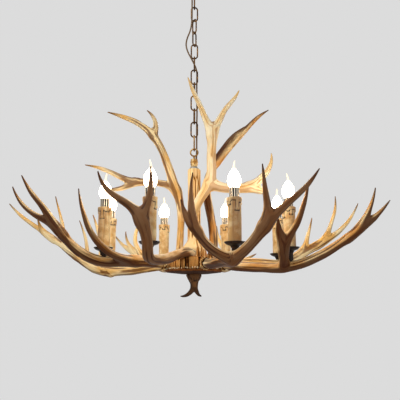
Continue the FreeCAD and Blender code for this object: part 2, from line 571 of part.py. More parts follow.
def antler(entry):
    """One cast antler: its limbs fused, and cut where it seats and where its bolt goes."""
    limbs = []
    for index, points in enumerate(entry["limbs"]):
        limbs.append(branch(points, stations=len(points) + 3 if index == 0 else len(points) + 1))
    body = limbs[0]
    if entry.get("root") == "side":
        body = body.fuse(spigot(entry))
    if "side_bolt" not in entry:
        body = body.fuse(burr(entry["limbs"][0]))
    body = body.fuse(limbs[1:])
    if entry.get("root") == "side":
        body = body.cut(radial_bolt(entry, BOLT_RADIUS + FIT / 2))
    if "bolt_at" in entry:
        body = body.cut(rod(BOLT_RADIUS + FIT / 2, HUB_TOP - 20, HUB_TOP + 14, entry["bolt_at"]))
        body = body.cut(rod(HUB_RADIUS, HUB_TOP - 40, HUB_TOP))
    if "side_bolt" in entry:
        body = body.cut(rod(COLUMN_RADIUS, entry["side_bolt"] - 50, entry["side_bolt"] + 50))
        body = body.cut(side_bolt(entry["side_bolt"], BOLT_RADIUS + FIT / 2))
    if "bearing" in entry:
        x, y = candle_place(entry)
        body = body.cut(rod(CUP_RADIUS, entry["beam_top"] - SEAT_DEPTH, DISH_TOP + 30, (x, y)))
    return body


def radial_bolt(entry, radius):
    """A bolt's shank from inside the drum along a root's own axis."""
    start = along_bearing(entry) * (ROOT_RADIUS - SPIGOT_LENGTH - 1) + UP * entry["root_height"]
    return Part.makeCylinder(radius, 30, start, along_bearing(entry))


def side_bolt(height, radius):
    """A bolt's shank from inside the column straight towards the viewer."""
    return Part.makeCylinder(radius, SIDE_BOLT_LENGTH, Vector(0, -SIDE_BOLT_SEAT, height), Vector(0, -1, 0))


def antler_bolts():
    """The bolts that hold the antlers: along each root, up through the drum's top, or out of the column."""
    bolts = []
    for entry in LOWER_ANTLERS:
        if entry["root"] == "side":
            along = along_bearing(entry)
            head_at = along * (ROOT_RADIUS - SPIGOT_LENGTH - BOLT_HEAD_HEIGHT) + UP * entry["root_height"]
            head = Part.makeCylinder(BOLT_HEAD_RADIUS, BOLT_HEAD_HEIGHT, head_at, along)
            shank = Part.makeCylinder(BOLT_RADIUS, SPIGOT_LENGTH * 2, head_at, along)
            bolts.append(head.fuse(shank))
    for entry in LOWER_ANTLERS + UPPER_ANTLERS:
        if "bolt_at" in entry:
            head_top = HUB_TOP - HUB_WALL
            head = rod(BOLT_HEAD_RADIUS, head_top - BOLT_HEAD_HEIGHT, head_top, entry["bolt_at"])
            shank = rod(BOLT_RADIUS, head_top - BOLT_HEAD_HEIGHT, HUB_TOP + 13, entry["bolt_at"])
            bolts.append(head.fuse(shank))
        if "side_bolt" in entry:
            head_at = Vector(0, BOLT_HEAD_HEIGHT - SIDE_BOLT_SEAT, entry["side_bolt"])
            head = Part.makeCylinder(SIDE_HEAD_RADIUS, BOLT_HEAD_HEIGHT, head_at, Vector(0, -1, 0))
            bolts.append(head.fuse(side_bolt(entry["side_bolt"], BOLT_RADIUS)))
    return bolts


# ---------------------------------------------------------------- candles
def drip_dish(entry):
    """The spun saucer under a candle, on a turned cup and a stub that seats in the antler."""
    x, y = candle_place(entry)
    foot = min(entry["beam_top"] - SEAT_DEPTH, DISH_TOP - CUP_DEPTH)
    profile = [(0, DISH_TOP), (DISH_RADIUS - 2, DISH_TOP), (DISH_RADIUS, DISH_TOP + 2),
               (DISH_RADIUS + 0.6, DISH_TOP + 1.2), (DISH_RADIUS - 4, DISH_TOP - 4),
               (CUP_RADIUS + 3, DISH_TOP - 7.5), (CUP_RADIUS + 1.5, DISH_TOP - 10),
               (CUP_RADIUS - FIT, DISH_TOP - CUP_DEPTH + 1),
               (CUP_RADIUS - FIT, foot), (0, foot)]
    dish = revolved(profile)
    dish.translate(Vector(x, y, 0))
    return dish


def candle_sleeve(entry, number):
    """The hollow candle tube, with wax runs down its outside, each candle turned differently."""
    x, y = candle_place(entry)
    inside = SLEEVE_RADIUS - SLEEVE_WALL
    sleeve = rod(SLEEVE_RADIUS, DISH_TOP, SLEEVE_TOP)
    for turn, length in ((20, 26), (75, 12), (150, 34), (235, 16), (300, 22)):
        lump = rod(WAX_RUN_RADIUS, SLEEVE_TOP - length, SLEEVE_TOP - 1.5, (SLEEVE_RADIUS - 1.4, 0))
        sleeve = sleeve.fuse(turned(lump, turn + 47 * number))
    sleeve = sleeve.cut(rod(inside, DISH_TOP - 1, SLEEVE_TOP + 1))
    sleeve.translate(Vector(x, y, 0))
    return sleeve


def lamp_holder(entry):
    """The small screw lamp holder inside a candle tube, standing on the dish."""
    x, y = candle_place(entry)
    top = SLEEVE_TOP - HOLDER_DROP
    bore = THREAD_RADIUS + 3 * FIT
    profile = [(0, DISH_TOP), (HOLDER_FOOT_RADIUS, DISH_TOP), (HOLDER_FOOT_RADIUS, top - HOLDER_CUP - 4),
               (HOLDER_RADIUS, top - HOLDER_CUP), (HOLDER_RADIUS, top), (bore, top),
               (bore, top - HOLDER_CUP + 8), (0, top - HOLDER_CUP + 8)]
    holder = revolved(profile)
    holder.translate(Vector(x, y, 0))
    return holder


def bulb(entry):
    """The flame-shaped bulb: its metal cap down in the holder, its bright collar and its glass."""
    x, y = candle_place(entry)
    top = SLEEVE_TOP - HOLDER_DROP
    cap = revolved([(0, top - 26), (4, top - 26), (THREAD_RADIUS, top - 23), (THREAD_RADIUS, top + 1),
                    (10.5, SLEEVE_TOP - 3), (10.8, SLEEVE_TOP), (BULB_COLLAR_RADIUS, BULB_WAIST),
                    (0, BULB_WAIST)])
    for index in range(COLLAR_FLUTES):
        flute = rod(COLLAR_FLUTE_RADIUS, SLEEVE_TOP + 3, BULB_WAIST - 2, (BULB_COLLAR_RADIUS + 0.4, 0))
        cap = cap.cut(turned(flute, 360 * index / COLLAR_FLUTES))
    through = [(15.4, BULB_WAIST + 9), (BULB_BELLY_RADIUS, BULB_WAIST + 18), (13.6, BULB_WAIST + 31),
               (7.4, BULB_WAIST + 43), (3.0, BULB_WAIST + 52)]
    side = smooth_profile((BULB_COLLAR_RADIUS, BULB_WAIST), through, (BULB_TIP_RADIUS, BULB_TIP))
    corners = [Vector(BULB_TIP_RADIUS, 0, BULB_TIP), Vector(0, 0, BULB_TIP), Vector(0, 0, BULB_WAIST),
               Vector(BULB_COLLAR_RADIUS, 0, BULB_WAIST)]
    lines = [Part.LineSegment(a, b).toShape() for a, b in zip(corners, corners[1:])]
    glass = Part.Face(Part.Wire([side] + lines)).revolve(Vector(0, 0, 0), UP, 360)
    for piece in (cap, glass):
        piece.translate(Vector(x, y, 0))
    return cap, glass


# ---------------------------------------------------------------- build
def main():
    """Makes and writes every piece."""
    os.makedirs("parts", exist_ok=True)
    export("canopy", canopy())
    export("ceiling_bracket", ceiling_bracket())
    export("hang_loop", hang_loop())
    export("lock_ring", lock_ring())
    export("nipple_nut", nipple_nut())
    links = [chain_link(index) for index in range(LINK_COUNT)]
    export("top_link", links[0])
    export("chain_links", *links[1:-1])
    export("bottom_link", links[-1])
    export("cord_ceiling", cord_run(CORD_CEILING))
    export("cord_upper", cord_run(CORD_UPPER))
    export("cord_long", cord_run(CORD_LONG))
    export("cord_lower", cord_run(CORD_LOWER))
    export("cord_stem", cord_run(CORD_STEM))
    export("eye_bolt", eye_bolt())
    export("stem_collar", stem_collar())
    export("column", column())
    export("tie_rod", tie_rod())
    export("hub_drum", hub_drum())
    export("hub_plate", hub_plate())
    export("finial", finial())
    export("wire_connector", wire_connector())
    export("rod_nut", rod_nut())
    export("antler_bolts", *antler_bolts())
    for entry in LOWER_ANTLERS + UPPER_ANTLERS:
        export(entry["name"], antler(entry))
    for number, entry in enumerate(LOWER_ANTLERS, start=1):
        export("drip_dish_%d" % number, drip_dish(entry))
        export("candle_sleeve_%d" % number, candle_sleeve(entry, number))
        export("bulb_%d" % number, *bulb(entry))
    export("lamp_holders", *[lamp_holder(entry) for entry in LOWER_ANTLERS])


main()
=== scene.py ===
"""The looks of the antler chandelier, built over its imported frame.

Sizes in the classes are millimetres in the frame's axes and become metres when a mesh is made. The ceiling
is the plane z = 0, +X is to the right and +Y is away from the viewer.
"""

import logging
import math
from collections.abc import Callable, Sequence
from dataclasses import dataclass, field
from enum import Enum

import bmesh
import bpy
import numpy as np
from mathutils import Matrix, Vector


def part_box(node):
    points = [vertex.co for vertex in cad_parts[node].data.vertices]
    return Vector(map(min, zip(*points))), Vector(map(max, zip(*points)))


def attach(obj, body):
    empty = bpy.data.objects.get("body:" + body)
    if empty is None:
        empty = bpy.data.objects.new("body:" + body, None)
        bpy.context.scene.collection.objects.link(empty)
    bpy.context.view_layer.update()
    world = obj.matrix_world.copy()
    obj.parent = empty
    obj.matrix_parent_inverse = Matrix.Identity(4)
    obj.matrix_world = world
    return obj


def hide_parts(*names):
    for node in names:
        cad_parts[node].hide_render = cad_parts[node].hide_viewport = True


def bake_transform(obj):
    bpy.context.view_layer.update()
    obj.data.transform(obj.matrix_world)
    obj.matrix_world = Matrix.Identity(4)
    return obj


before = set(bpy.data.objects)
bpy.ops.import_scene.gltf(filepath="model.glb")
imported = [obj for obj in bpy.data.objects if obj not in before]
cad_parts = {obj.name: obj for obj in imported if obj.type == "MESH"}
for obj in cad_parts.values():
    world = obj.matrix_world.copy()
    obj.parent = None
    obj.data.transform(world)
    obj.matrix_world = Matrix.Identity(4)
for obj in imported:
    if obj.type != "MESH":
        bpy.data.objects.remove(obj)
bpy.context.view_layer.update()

LOG = logging.getLogger("chandelier")
MM = 0.001
LAMP = "lamp"
LEAST_RADIUS = 0.3  # no carving brings a turned piece closer to its axis

Point = tuple[float, float, float]
Ball = tuple[float, float, float, float]
Colour = tuple[float, float, float, float]
Limbs = Sequence[Sequence[Ball]]
Array = np.ndarray
Material = bpy.types.Material
Mesh = bpy.types.Mesh
Piece = bpy.types.Object
Swell = Callable[[Array, Array], Array]


# ---- numbers
def tint(code: str) -> Colour:
    """A screen colour such as "c89a5a" as a linear colour with full alpha."""
    parts = [int(code[i:i + 2], 16) / 255 for i in (0, 2, 4)]
    linear = [part / 12.92 if part <= 0.04045 else ((part + 0.055) / 1.055) ** 2.4 for part in parts]
    return (*linear, 1.0)


def lattice(cells: Array, seed: int) -> Array:
    """A fixed random number from -1 to 1 for each whole-number cell.

    Args:
        cells: Whole numbers, shape (n, 3).
        seed: Picks the set of random numbers.

    Returns:
        One number per row.
    """
    mask = np.int64(0xFFFFFFFF)
    spread = np.array([374761393, 668265263, 1440662683])
    mixed = (cells @ spread + seed * 974634777) & mask
    mixed = ((mixed ^ (mixed >> 13)) * 1274126177) & mask
    return ((mixed ^ (mixed >> 16)) & np.int64(0xFFFF)) / 32767.5 - 1.0


def smooth_noise(at: Array, seed: int) -> Array:
    """Smooth noise from -1 to 1, one cell per unit.

    Args:
        at: Places, shape (n, 3).
        seed: Picks the pattern.

    Returns:
        One number per place.
    """
    low = np.floor(at).astype(np.int64)
    share = at - low
    share = share * share * (3 - 2 * share)
    total = np.zeros(len(at))
    for corner in range(8):
        step = np.array([corner & 1, corner >> 1 & 1, corner >> 2 & 1])
        weight = np.prod(np.where(step, share, 1 - share), axis=1)
        total += weight * lattice(low + step, seed)
    return total


def smooth_step(low: float, high: float, value: Array) -> Array:
    """0 before low, 1 after high, and a smooth rise between."""
    share = np.clip((value - low) / (high - low), 0, 1)
    return share * share * (3 - 2 * share)


def around(turn: Array, height: Array, wide: float, high: float) -> Array:
    """Places for noise that closes on itself round an axis, its cells set by wide and high."""
    return np.stack([wide * np.cos(turn), wide * np.sin(turn), height * high], axis=1)


def spline_run(points: Sequence[Sequence[float]], step: float) -> Array:
    """Samples of a smooth curve through points, the other columns following in straight shares.

    Args:
        points: Rows of x, y, z and any further values.
        step: Distance between samples, in the points' own unit.

    Returns:
        Rows of x, y, z, further values and the length run so far.
    """
    knots = np.array(points, float)
    chord = np.linalg.norm(np.diff(knots[:, :3], axis=0), axis=1)
    at = np.concatenate([[0], np.cumsum(chord)])
    count = len(knots)
    slope = np.diff(knots[:, :3], axis=0) / chord[:, None]
    matrix = np.eye(count)
    right = np.zeros((count, 3))
    right[0], right[-1] = slope[0], slope[-1]
    if count > 2:
        right[0] -= (slope[1] - slope[0]) * chord[0] / (chord[0] + chord[1])
        right[-1] += (slope[-1] - slope[-2]) * chord[-1] / (chord[-1] + chord[-2])
    for i in range(1, count - 1):
        matrix[i, i - 1:i + 2] = chord[i], 2 * (chord[i - 1] + chord[i]), chord[i - 1]
        right[i] = 3 * (chord[i] * slope[i - 1] + chord[i - 1] * slope[i])
    tangent = np.linalg.solve(matrix, right)
    samples = np.linspace(0, at[-1], max(4, int(at[-1] / step)))
    span = np.clip(np.searchsorted(at, samples, side="right") - 1, 0, count - 2)
    share = ((samples - at[span]) / chord[span])[:, None]
    rest = 1 - share
    width = chord[span][:, None]
    place = (1 + 2 * share) * rest ** 2 * knots[span, :3] + share * rest ** 2 * width * tangent[span]
    place = place + share ** 2 * (3 - 2 * share) * knots[span + 1, :3]
    place = place - share ** 2 * rest * width * tangent[span + 1]
    others = knots[span, 3:] * rest + knots[span + 1, 3:] * share
    run = np.concatenate([[0], np.cumsum(np.linalg.norm(np.diff(place, axis=0), axis=1))])
    return np.hstack([place, others, run[:, None]])


# ---- nodes
class Term:
    """A node's socket that adds Math nodes when it is used in a Python expression."""

    def __init__(self, graph: "Graph", socket: bpy.types.NodeSocket) -> None:
        """Wraps one output socket of a graph."""
        self.graph = graph
        self.socket = socket

    def math(self, operation: str, *values: "Term | float") -> "Term":
        """This value put through a Math node with the other values."""
        inputs = dict(enumerate((self, *values)))
        return self.graph.add("ShaderNodeMath", {"operation": operation}, inputs)

    def __add__(self, other: "Term | float") -> "Term":
        """The sum."""
        return self.math("ADD", other)

    __radd__ = __add__

    def __sub__(self, other: "Term | float") -> "Term":
        """The difference."""
        return self.math("SUBTRACT", other)

    def __rsub__(self, other: "Term | float") -> "Term":
        """The difference, the other way round."""
        return self.graph.add("ShaderNodeMath", {"operation": "SUBTRACT"}, {0: other, 1: self})

    def __mul__(self, other: "Term | float") -> "Term":
        """The product."""
        return self.math("MULTIPLY", other)

    __rmul__ = __mul__

    def between(self, low: float, high: float) -> "Term":
        """0 below low, 1 above high and a smooth rise between."""
        settings = {"interpolation_type": "SMOOTHSTEP"}
        return self.graph.add("ShaderNodeMapRange", settings, {0: self, 1: low, 2: high, 3: 0.0, 4: 1.0})

    def part(self, name: str) -> "Term":
        """Another output of the same node."""
        return Term(self.graph, self.socket.node.outputs[name])


class Graph:
    """A node tree that nodes are added to by type, settings and inputs.

    Attributes:
        sizes: The tree's own inputs and their values, none in a material.
        entry: The node that gives them.
    """

    sizes: dict[str, float | int] = {}
    entry: Term | None = None

    def __init__(self, tree: bpy.types.NodeTree) -> None:
        """Starts on a tree."""
        self.tree = tree

    def size(self, name: str) -> Term:
        """The term of a named size."""
        return self.entry.part(name)

    def add(self, kind: str, settings: dict | None = None, inputs: dict | None = None,
            out: int | str = 0) -> Term:
        """Adds one node.

        Args:
            kind: The node's type name.
            settings: Its properties, set first.
            inputs: Values, terms or names of the tree's sizes by socket index or name.
            out: Which output to return.

        Returns:
            The wanted output.
        """
        node = self.tree.nodes.new(kind)
        for name, value in (settings or {}).items():
            setattr(node, name, value)
        for key, value in (inputs or {}).items():
            if isinstance(value, str) and value in self.sizes:
                value = self.size(value)
            if isinstance(value, Term):
                self.tree.links.new(value.socket, node.inputs[key])
            else:
                node.inputs[key].default_value = value
        return Term(self, node.outputs[out] if node.outputs else None)


class Shader(Graph):
    """One material under construction."""

    def __init__(self, name: str) -> None:
        """Makes an empty material."""
        self.material = bpy.data.materials.new(name)
        self.material.use_nodes = True
        super().__init__(self.material.node_tree)
        self.tree.nodes.clear()

    def place(self) -> Term:
        """The piece's Object coordinates."""
        return self.add("ShaderNodeTexCoord", out="Object")

    def attribute(self, name: str, out: str = "Fac") -> Term:
        """A value stored on the mesh."""
        return self.add("ShaderNodeAttribute", {"attribute_name": name}, out=out)

    def noise(self, vector: Term, scale: float | Point, detail: float = 3.0, distortion: float = 0.0) -> Term:
        """Noise around 0.5 on a vector, at one scale or at one for each axis, in cells for a metre."""
        if isinstance(scale, tuple):
            vector = self.add("ShaderNodeVectorMath", {"operation": "MULTIPLY"}, {0: vector, 1: scale})
            scale = 1.0
        inputs = {"Vector": vector, "Scale": scale, "Detail": detail, "Distortion": distortion}
        return self.add("ShaderNodeTexNoise", {}, inputs)

    def mix(self, factor: Term, first: Term | Colour | str, second: Colour | str) -> Term:
        """A colour between two, each a term, a linear colour or a screen colour's code."""
        first, second = (tint(one) if isinstance(one, str) else one for one in (first, second))
        return self.add("ShaderNodeMix", {"data_type": "RGBA"}, {0: factor, 6: first, 7: second}, out=2)

    def ramp(self, value: Term, stops: dict[float, str]) -> Term:
        """A colour looked up along stops, each a place and a screen colour's code."""
        found = self.add("ShaderNodeValToRGB", {}, {0: value})
        elements = found.socket.node.color_ramp.elements
        while len(elements) < len(stops):
            elements.new(0.5)
        for element, (place, colour) in zip(elements, stops.items()):
            element.position = place
            element.color = tint(colour)
        return found

    def bump(self, height: Term, distance: float, strength: float = 1.0) -> Term:
        """A normal bent by a height in metres times the distance."""
        return self.add("ShaderNodeBump", {}, {"Strength": strength, "Distance": distance, "Height": height})

    def finish(self, inputs: dict) -> Material:
        """Adds the main shader with these inputs and returns the material."""
        surface = self.add("ShaderNodeBsdfPrincipled", {}, inputs)
        self.add("ShaderNodeOutputMaterial", {}, {"Surface": surface})
        return self.material


class Pattern(Graph):
    """A Geometry Nodes tree with named sizes that turns a source mesh into a finished plain mesh."""

    def __init__(self, name: str, sizes: dict[str, float | int]) -> None:
        """Makes the tree's sockets: geometry in and out, and one input for each size."""
        super().__init__(bpy.data.node_groups.new(name, "GeometryNodeTree"))
        self.sizes = sizes
        face = self.tree.interface
        face.new_socket(name="Geometry", in_out="INPUT", socket_type="NodeSocketGeometry")
        face.new_socket(name="Geometry", in_out="OUTPUT", socket_type="NodeSocketGeometry")
        for size, value in sizes.items():
            kind = "NodeSocketInt" if isinstance(value, int) else "NodeSocketFloat"
            face.new_socket(name=size, in_out="INPUT", socket_type=kind)
        self.entry = self.add("NodeGroupInput")

    def join(self, *shapes: Term) -> Term:
        """Several shapes put together."""
        both = self.add("GeometryNodeJoinGeometry")
        for shape in shapes:
            self.tree.links.new(shape.socket, both.socket.node.inputs[0])
        return both

    def circle(self, count: str, radius: str | float) -> Term:
        """A circle with a named count of points and a radius that is named or given."""
        return self.add("GeometryNodeCurvePrimitiveCircle", {}, {"Resolution": count, "Radius": radius})

    def random(self, low: Point, high: Point, seed: str = "Seed") -> Term:
        """A random vector between two, picked by a named seed."""
        inputs = {0: low, 1: high, "Seed": seed}
        return self.add("FunctionNodeRandomValue", {"data_type": "FLOAT_VECTOR"}, inputs)

    def ring(self, count: str) -> Term:
        """Points round a circle of the size "Ring radius"."""
        circle = self.circle(count, "Ring radius")
        return self.add("GeometryNodeCurveToPoints", {"mode": "EVALUATED"}, {0: circle})

    def outward(self) -> Term:
        """A rotation that turns the X axis away from the upright axis."""
        inputs = {"Vector": self.add("GeometryNodeInputPosition")}
        return self.add("FunctionNodeAlignRotationToVector", {"axis": "X", "pivot_axis": "Z"}, inputs)

    def copies(self, shape: Term, points: Term, **stance: Term) -> Term:
        """A copy of the shape on every point, its Rotation and Scale as given."""
        return self.add("GeometryNodeInstanceOnPoints", {}, {"Points": points, "Instance": shape, **stance})

    def end(self, shape: Term, material: Material) -> None:
        """Ends the tree: instances made real, shaded smooth, with its material."""
        real = self.add("GeometryNodeRealizeInstances", {}, {0: shape})
        smooth = self.add("GeometryNodeSetShadeSmooth", {}, {0: real})
        dressed = self.add("GeometryNodeSetMaterial", {}, {0: smooth, "Material": material})
        self.add("NodeGroupOutput", {}, {0: dressed})

    def make(self, name: str, source: Mesh) -> Piece:
        """Runs the tree on a source mesh.

        Args:
            name: The finished piece's name.
            source: The mesh that goes in.

        Returns:
            A new object that holds the result as a plain mesh.
        """
        carrier = bpy.data.objects.new(name + "_source", source)
        bpy.context.scene.collection.objects.link(carrier)
        modifier = carrier.modifiers.new("pattern", "NODES")
        modifier.node_group = self.tree
        for item in self.tree.interface.items_tree:
            if item.in_out == "INPUT" and item.name in self.sizes:
                modifier[item.identifier] = self.sizes[item.name]
        graph = bpy.context.evaluated_depsgraph_get()
        plain = bpy.data.meshes.new_from_object(carrier.evaluated_get(graph), depsgraph=graph)
        bpy.data.objects.remove(carrier)
        return new_piece(name, plain)


# ---- meshes
def mesh_corners(mesh: Mesh) -> Array:
    """A mesh's corners in millimetres, shape (n, 3)."""
    corners = np.zeros(len(mesh.vertices) * 3)
    mesh.vertices.foreach_get("co", corners)
    return corners.reshape(-1, 3) / MM


def store(mesh: Mesh, name: str, value: Array) -> None:
    """Stores a number or a vector on each corner of a mesh."""
    layer = mesh.attributes.new(name, "FLOAT_VECTOR" if value.ndim == 2 else "FLOAT", "POINT")
    layer.data.foreach_set("vector" if value.ndim == 2 else "value", value.astype(np.float32).ravel())


def steady(tangent: Array, reference: Array) -> Array:
    """A side direction carried along a line without twist, one for each sample.

    Args:
        tangent: The line's direction at each sample.
        reference: The side direction to start from.

    Returns:
        Unit directions across the line, shape (n, 3).
    """
    side = np.empty_like(tangent)
    for i, along in enumerate(tangent):
        reference = reference - along * (reference @ along)
        reference = reference / np.linalg.norm(reference)
        side[i] = reference
    return side


def toward_flames(at: Array) -> Array:
    """The unit direction in which the candles' lamps lie, the near ones counting most; the antlers' painted
    shade is laid out from it.

    Args:
        at: Places in millimetres, shape (n, 3).

    Returns:
        One direction per place.
    """
    total = np.zeros_like(at)
    for number in range(1, 9):
        way = np.mean(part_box("bulb_%d" % number), axis=0) / MM - at
        total += way / np.maximum(np.linalg.norm(way, axis=1), 20)[:, None] ** 3
    return total / np.linalg.norm(total, axis=1)[:, None]


def outwards(mesh: Mesh, merge: bool = False) -> None:
    """Turns a closed mesh's faces outwards, its doubles merged first if wanted."""
    work = bmesh.new()
    work.from_mesh(mesh)
    if merge:
        bmesh.ops.remove_doubles(work, verts=work.verts, dist=1e-6)
        bmesh.ops.dissolve_degenerate(work, edges=work.edges, dist=1e-7)
    bmesh.ops.recalc_face_normals(work, faces=work.faces)
    work.to_mesh(mesh)
    work.free()


def closed_mesh(name: str, corners: Array, faces: Sequence[Sequence[int]]) -> Mesh:
    """A closed mesh, its doubles merged and its faces turned outwards.

    Args:
        name: The mesh's name.
        corners: Vertices in millimetres, shape (n, 3).
        faces: Vertex numbers of each face.

    Returns:
        The new mesh, in metres.
    """
    mesh = bpy.data.meshes.new(name)
    mesh.from_pydata((corners * MM).tolist(), [], [list(face) for face in faces])
    outwards(mesh, merge=True)
    mesh.shade_smooth()
    return mesh


def new_piece(name: str, mesh: Mesh) -> Piece:
    """An object that holds the mesh, linked into the scene."""
    mesh.name = name
    piece = bpy.data.objects.new(name, mesh)
    bpy.context.scene.collection.objects.link(piece)
    return piece


def ring_faces(rows: int, columns: int, closed: bool) -> list[tuple[int, int, int, int]]:
    """Faces between rows of a grid whose columns go all the way round."""
    faces = []
    for row in range(rows if closed else rows - 1):
        after = (row + 1) % rows
        for column in range(columns):
            beside = (column + 1) % columns
            faces.append((row * columns + column, row * columns + beside, after * columns + beside,
                          after * columns + column))
    return faces


def refine(profile: Sequence[Sequence[float]], step: float) -> Array:
    """A profile with points added so that none are further apart than the step."""
    rows = [np.array(profile[0], float)]
    for before, after in zip(profile, profile[1:]):
        start, end = np.array(before, float), np.array(after, float)
        count = max(1, int(math.ceil(np.linalg.norm(end - start) / step)))
        rows += [start + (end - start) * (i + 1) / count for i in range(count)]
    return np.array(rows)


@dataclass
class Turning:
    """A piece turned about an upright axis, with an optional carved or swollen surface.

    Attributes:
        profile: (radius, height) points; from axis to axis, or a loop that closes on itself.
        segments: Columns round the axis.
        centre: Where the axis stands.
        swell: Change of radius for each (angle, height), or nothing.
        loop: True if the profile is a closed loop clear of the axis.
        step: Rows are no further apart than this.
        sharp: Edges bent more than this many degrees stay sharp.
        still: Corners within this radius keep their place.
    """

    profile: Sequence[tuple[float, float]]
    segments: int = 64
    centre: tuple[float, float] = (0.0, 0.0)
    swell: Swell | None = None
    loop: bool = False
    step: float = 50.0
    sharp: float = 40.0
    still: float = 0.5

    def build(self, name: str) -> Piece:
        """Makes the piece."""
        rows = refine(self.profile, self.step)
        angle = np.linspace(0, 2 * math.pi, self.segments, endpoint=False)
        turn, height = np.meshgrid(angle, rows[:, 1])
        radius = np.repeat(rows[:, :1], self.segments, axis=1)
        if self.swell:
            change = self.swell(turn.ravel(), height.ravel()).reshape(radius.shape)
            radius = np.where(radius > self.still, np.maximum(radius + change, LEAST_RADIUS), radius)
        east = self.centre[0] + radius * np.cos(turn)
        north = self.centre[1] + radius * np.sin(turn)
        corners = np.stack([east, north, height], axis=-1).reshape(-1, 3)
        mesh = closed_mesh(name, corners, ring_faces(len(rows), self.segments, self.loop))
        mesh.set_sharp_from_angle(angle=math.radians(self.sharp))
        return new_piece(name, mesh)


def place_piece(piece: Piece, body: str, material: Material, slot: str, *replaces: str) -> Piece:
    """Dresses a piece, lets it ride on its body and reports it.

    Args:
        piece: The finished mesh piece.
        body: The body that it moves with.
        material: Its material.
        slot: Not used.
        replaces: Frame nodes that it stands for.

    Returns:
        The same piece.
    """
    piece.data.materials.clear()
    piece.data.materials.append(material)
    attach(piece, body)
    if replaces:
        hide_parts(*replaces)
    LOG.info("%s: %d faces on %s", piece.name, len(piece.data.polygons), body)
    return piece


# ---- finishes
@dataclass(frozen=True)
class CastAntler:
    """Painted cast resin: pale ground, brown grooves along it and painted shade on the side away from the
    candles.

    Attributes:
        name: The material's name.
        pale: Lightest paint, rubbed over the ridges.
        ground: Main paint.
        brown: Paint left in the grooves and streaks.
        dark: Painted shade on the side away from the candles.
        tip: Colour of the points.
        root: Colour of the thick end.
        stain: Values of the shade attribute between which the painted shade comes in.
        stained: How strong the painted shade gets.
        streaks: How strong the fine brown streaks are.
    """

    name: str
    pale: str
    ground: str
    brown: str
    dark: str
    tip: str
    root: str
    stain: tuple[float, float]
    stained: float
    streaks: float

    def material(self) -> Material:
        """Builds the material on the attributes that a casting stores on its mesh."""
        shader = Shader(self.name)
        grain = shader.attribute("grain", "Vector")
        groove, tip, root = shader.attribute("groove"), shader.attribute("tip"), shader.attribute("root")
        calm = shader.attribute("bulk") * 0.9 + 0.1
        cloud = shader.noise(grain, (60, 60, 14), 4.0)
        streak = shader.noise(grain, (230, 230, 13), 4.0, 0.4)
        fine = shader.noise(grain, (700, 700, 50), 3.0)
        # Painted shade: how far each place faces away from the candles, made ragged by the streaks and clouds
        ragged = shader.attribute("shade") + (streak - 0.5) * calm * 1.1 + (cloud - 0.5) * calm * 0.6
        colour = shader.mix(cloud.between(0.36, 0.62), self.ground, self.pale)
        for share, paint in (
                (root.between(0.2, 0.9) * 0.8, self.root),
                # painted shade on the side away from the candles, lifted near the thick end
                ((ragged - root).between(*self.stain) * self.stained, self.dark),
                (streak.between(0.50, 0.70) * calm * self.streaks, self.brown),
                (groove.between(0.10, 0.85) * (self.streaks + 0.3), self.brown),
                (tip.between(0.4, 0.95) * 0.85, self.tip)):
            colour = shader.mix(share, colour, paint)
        return shader.finish({
            "Base Color": colour,
            "Roughness": 0.40 + fine * 0.25,
            "Specular IOR Level": 0.14,
            "Normal": shader.bump((streak * -0.6 + fine * 0.25) * calm, 0.0016, 0.9),
        })


@dataclass(frozen=True)
class CarvedResin:
    """Carved, painted resin whose hollows are dark and whose ridges are golden."""

    name: str
    ridge: str
    middle: str
    hollow: str
    grain: Point = (160.0, 160.0, 22.0)

    def material(self) -> Material:
        """Builds the material on the carving's depth, stored on the mesh."""
        shader = Shader(self.name)
        place = shader.place()
        streak = shader.noise(place, self.grain, 5.0, 0.5)
        fine = shader.noise(place, (700, 700, 160), 2.0)
        height = shader.attribute("depth") * 0.7 + streak * 0.45
        return shader.finish({
            "Base Color": shader.ramp(height, {0.25: self.hollow, 0.5: self.middle, 0.8: self.ridge}),
            "Roughness": 0.60 + fine * 0.25,
            "Specular IOR Level": 0.06,
            "Normal": shader.bump(streak * 0.8 + fine * 0.3, 0.0016, 0.9),
        })


@dataclass(frozen=True)
class AgedMetal:
    """Antiqued metal: a dark coat with brighter metal where it rubs, and fine pitting.

    Attributes:
        name: The material's name.
        dark: The coat.
        bright: The rubbed metal.
        metallic: How far it is a metal rather than a paint.
        roughness: Of the coat.
        worn: How much of the coat is rubbed off.
    """

    name: str
    dark: str
    bright: str
    metallic: float
    roughness: float
    worn: float

    def material(self) -> Material:
        """Builds the material on Object coordinates."""
        shader = Shader(self.name)
        place = shader.place()
        cloud = shader.noise(place, 90.0, 5.0)
        pits = shader.noise(place, 1400.0)
        rub = shader.noise(place, 260.0)
        wear = (cloud.between(0.42, 0.66) * 0.6 + rub.between(0.52, 0.7) * 0.5) * self.worn
        return shader.finish({
            "Base Color": shader.mix(wear, self.dark, self.bright),
            "Metallic": self.metallic,
            "Roughness": self.roughness + pits * 0.22 - wear * 0.1,
            "Normal": shader.bump(pits * 0.6 + rub * 0.5, 0.0004, 0.8),
        })


@dataclass(frozen=True)
class FlutedSteel:
    """Bright plated flutes with painted shade, black, in the gaps between them."""

    name: str
    # painted shade, black, behind the flutes
    gap: str
    bright: str

    def material(self) -> Material:
        """Builds the material on the rub attribute, 1 on the flutes and 0 behind them, where the shade is
        painted black.
        """
        shader = Shader(self.name)
        rub = shader.attribute("rub")
        scratch = shader.noise(shader.place(), (900, 900, 60))
        # 1 out on the flutes, 0 in the painted shade behind them
        flute_out_of_painted_shade = rub.between(0.45, 0.85)
        return shader.finish({
            "Base Color": shader.mix(flute_out_of_painted_shade, self.gap, self.bright),
            "Metallic": flute_out_of_painted_shade * 0.9,
            "Specular IOR Level": 0.0,
            "Roughness": 0.20 + scratch * 0.2,
            "Normal": shader.bump(scratch, 0.0002, 0.6),
        })


